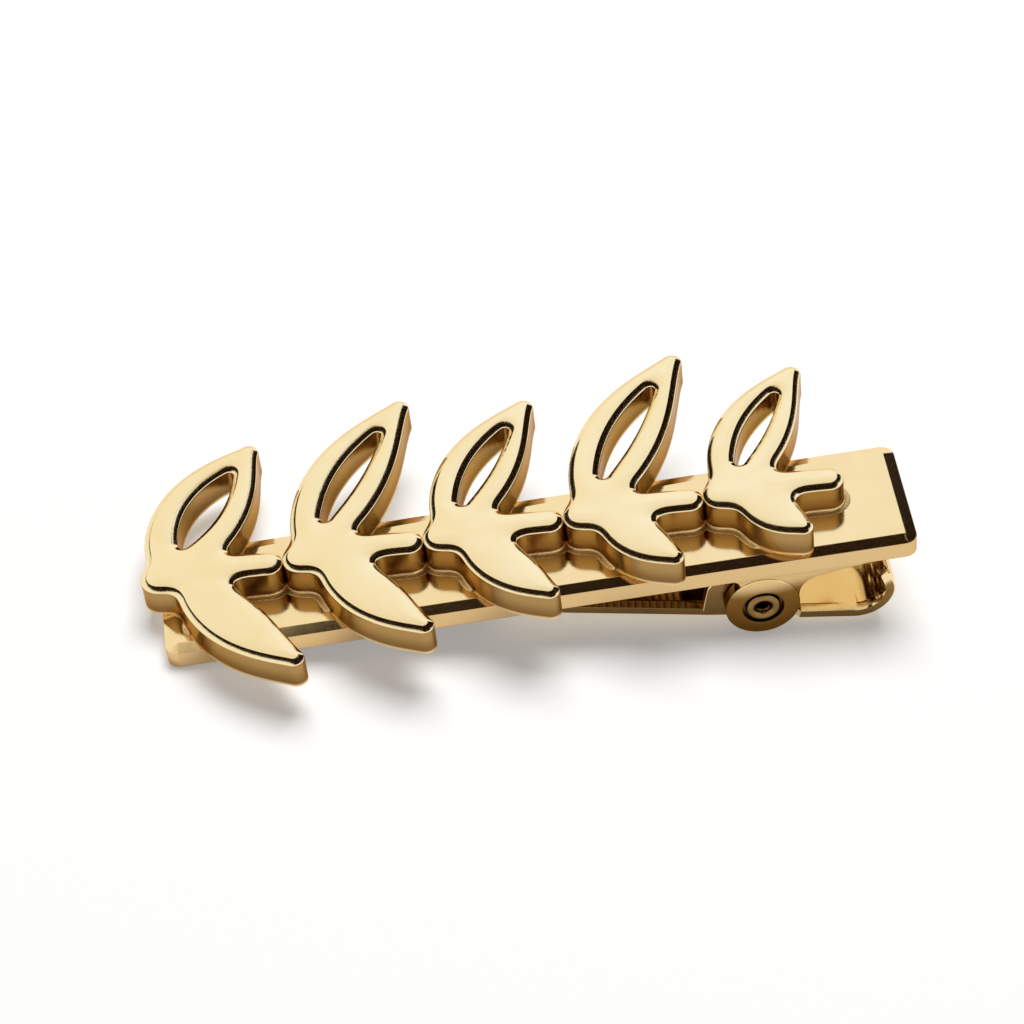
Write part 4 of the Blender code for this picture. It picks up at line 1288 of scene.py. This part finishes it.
def mirrored_view(spot, tilt, bearing):
    """Where a facet sends the camera's view; its bearing is 0 to the front, 90 to the thumb end."""
    away = (CAMERA_PLACE - spot).normalized()
    t, b = math.radians(tilt), math.radians(bearing)
    level = math.sin(b) * BAR_ALONG - math.cos(b) * BAR_ACROSS
    facet = math.sin(t) * level + math.cos(t) * BAR_UP
    return 2 * facet.dot(away) * facet - away


def flag_shader(tree):
    return linked(tree, "Emission", {"Color": FLAG_COLOUR, "Strength": 1.0})


def make_flag(name, place, outline):
    """Dark curved studio flag that only reflections see."""
    spot = BAR_FRAME @ Vector((*place, BAR_THICKNESS))
    stops, lows, highs = zip(*outline)
    bm = bmesh.new()
    columns = []
    for bearing in np.linspace(stops[0], stops[-1], FLAG_COLUMNS):
        low, high = np.interp(bearing, stops, lows), np.interp(bearing, stops, highs)
        columns.append([bm.verts.new(spot + mirrored_view(spot, tilt, bearing) * FLAG_DISTANCE)
                        for tilt in np.linspace(low, high, FLAG_ROWS)])
    for left, right in zip(columns, columns[1:]):
        for row in range(FLAG_ROWS - 1):
            bm.faces.new((left[row], right[row], right[row + 1], left[row + 1]))
    obj = stage_mesh(name, bm, flag_shader)
    for way in ("camera", "diffuse", "shadow", "transmission"):
        setattr(obj, "visible_" + way, False)


def make_light():
    """One large soft key light, over and behind the clip, that metal doesn't mirror."""
    width, height = KEY_SIZE
    light = bpy.data.lights.new("key_light", "AREA")
    light.shape = "RECTANGLE"
    light.size = width
    light.size_y = height
    light.energy = KEY_RADIANCE * math.pi * width * height
    obj = placed("key_light", light)
    obj.location = direction(KEY_AZIMUTH, KEY_ELEVATION) * KEY_DISTANCE
    obj.rotation_euler = (-obj.location).to_track_quat("-Z", "Y").to_euler()
    obj.visible_glossy = False


def make_world():
    """White room, a little warmer on its left and under its ceiling, and dim as a light."""
    world = bpy.data.worlds.new("studio")
    world.use_nodes = True
    tree = world.node_tree
    tree.nodes.clear()
    parts = linked(tree, "SeparateXYZ", {"Vector": coordinate(tree, "Generated")}).outputs
    sides = mixed(tree, eased(tree, parts["X"], *WARM_SPAN), WHITE, WARM_SIDE)
    room = mixed(tree, eased(tree, parts["Z"], *CEILING_SPAN), sides, CEILING)
    strength = ranged(tree, seen_rays(tree), 0.0, 1.0, ROOM_LIGHT)
    glow = linked(tree, "Background", {"Color": room, "Strength": strength})
    linked(tree, "OutputWorld", {"Surface": glow.outputs[0]})
    bpy.context.scene.world = world


def make_camera():
    """Camera at the photograph's angle, rolled as it is there."""
    data = bpy.data.cameras.new("camera")
    data.lens = CAMERA_LENS
    data.sensor_width = CAMERA_SENSOR
    data.clip_start, data.clip_end = CAMERA_CLIP
    camera = placed("camera", data)
    back = direction(CAMERA_AZIMUTH, CAMERA_ELEVATION)
    level = direction(CAMERA_AZIMUTH + 90, 0)
    right = Matrix.Rotation(math.radians(CAMERA_ROLL), 3, back) @ level
    turn = Matrix((right, back.cross(right), back)).transposed().to_4x4()
    camera.matrix_world = Matrix.Translation(CAMERA_PLACE) @ turn
    bpy.context.scene.camera = camera


make_clip()
make_floor()
make_world()
make_light()
for flag in FLAGS:
    make_flag(*flag)
make_camera()
bpy.context.scene.view_settings.view_transform = "Standard"
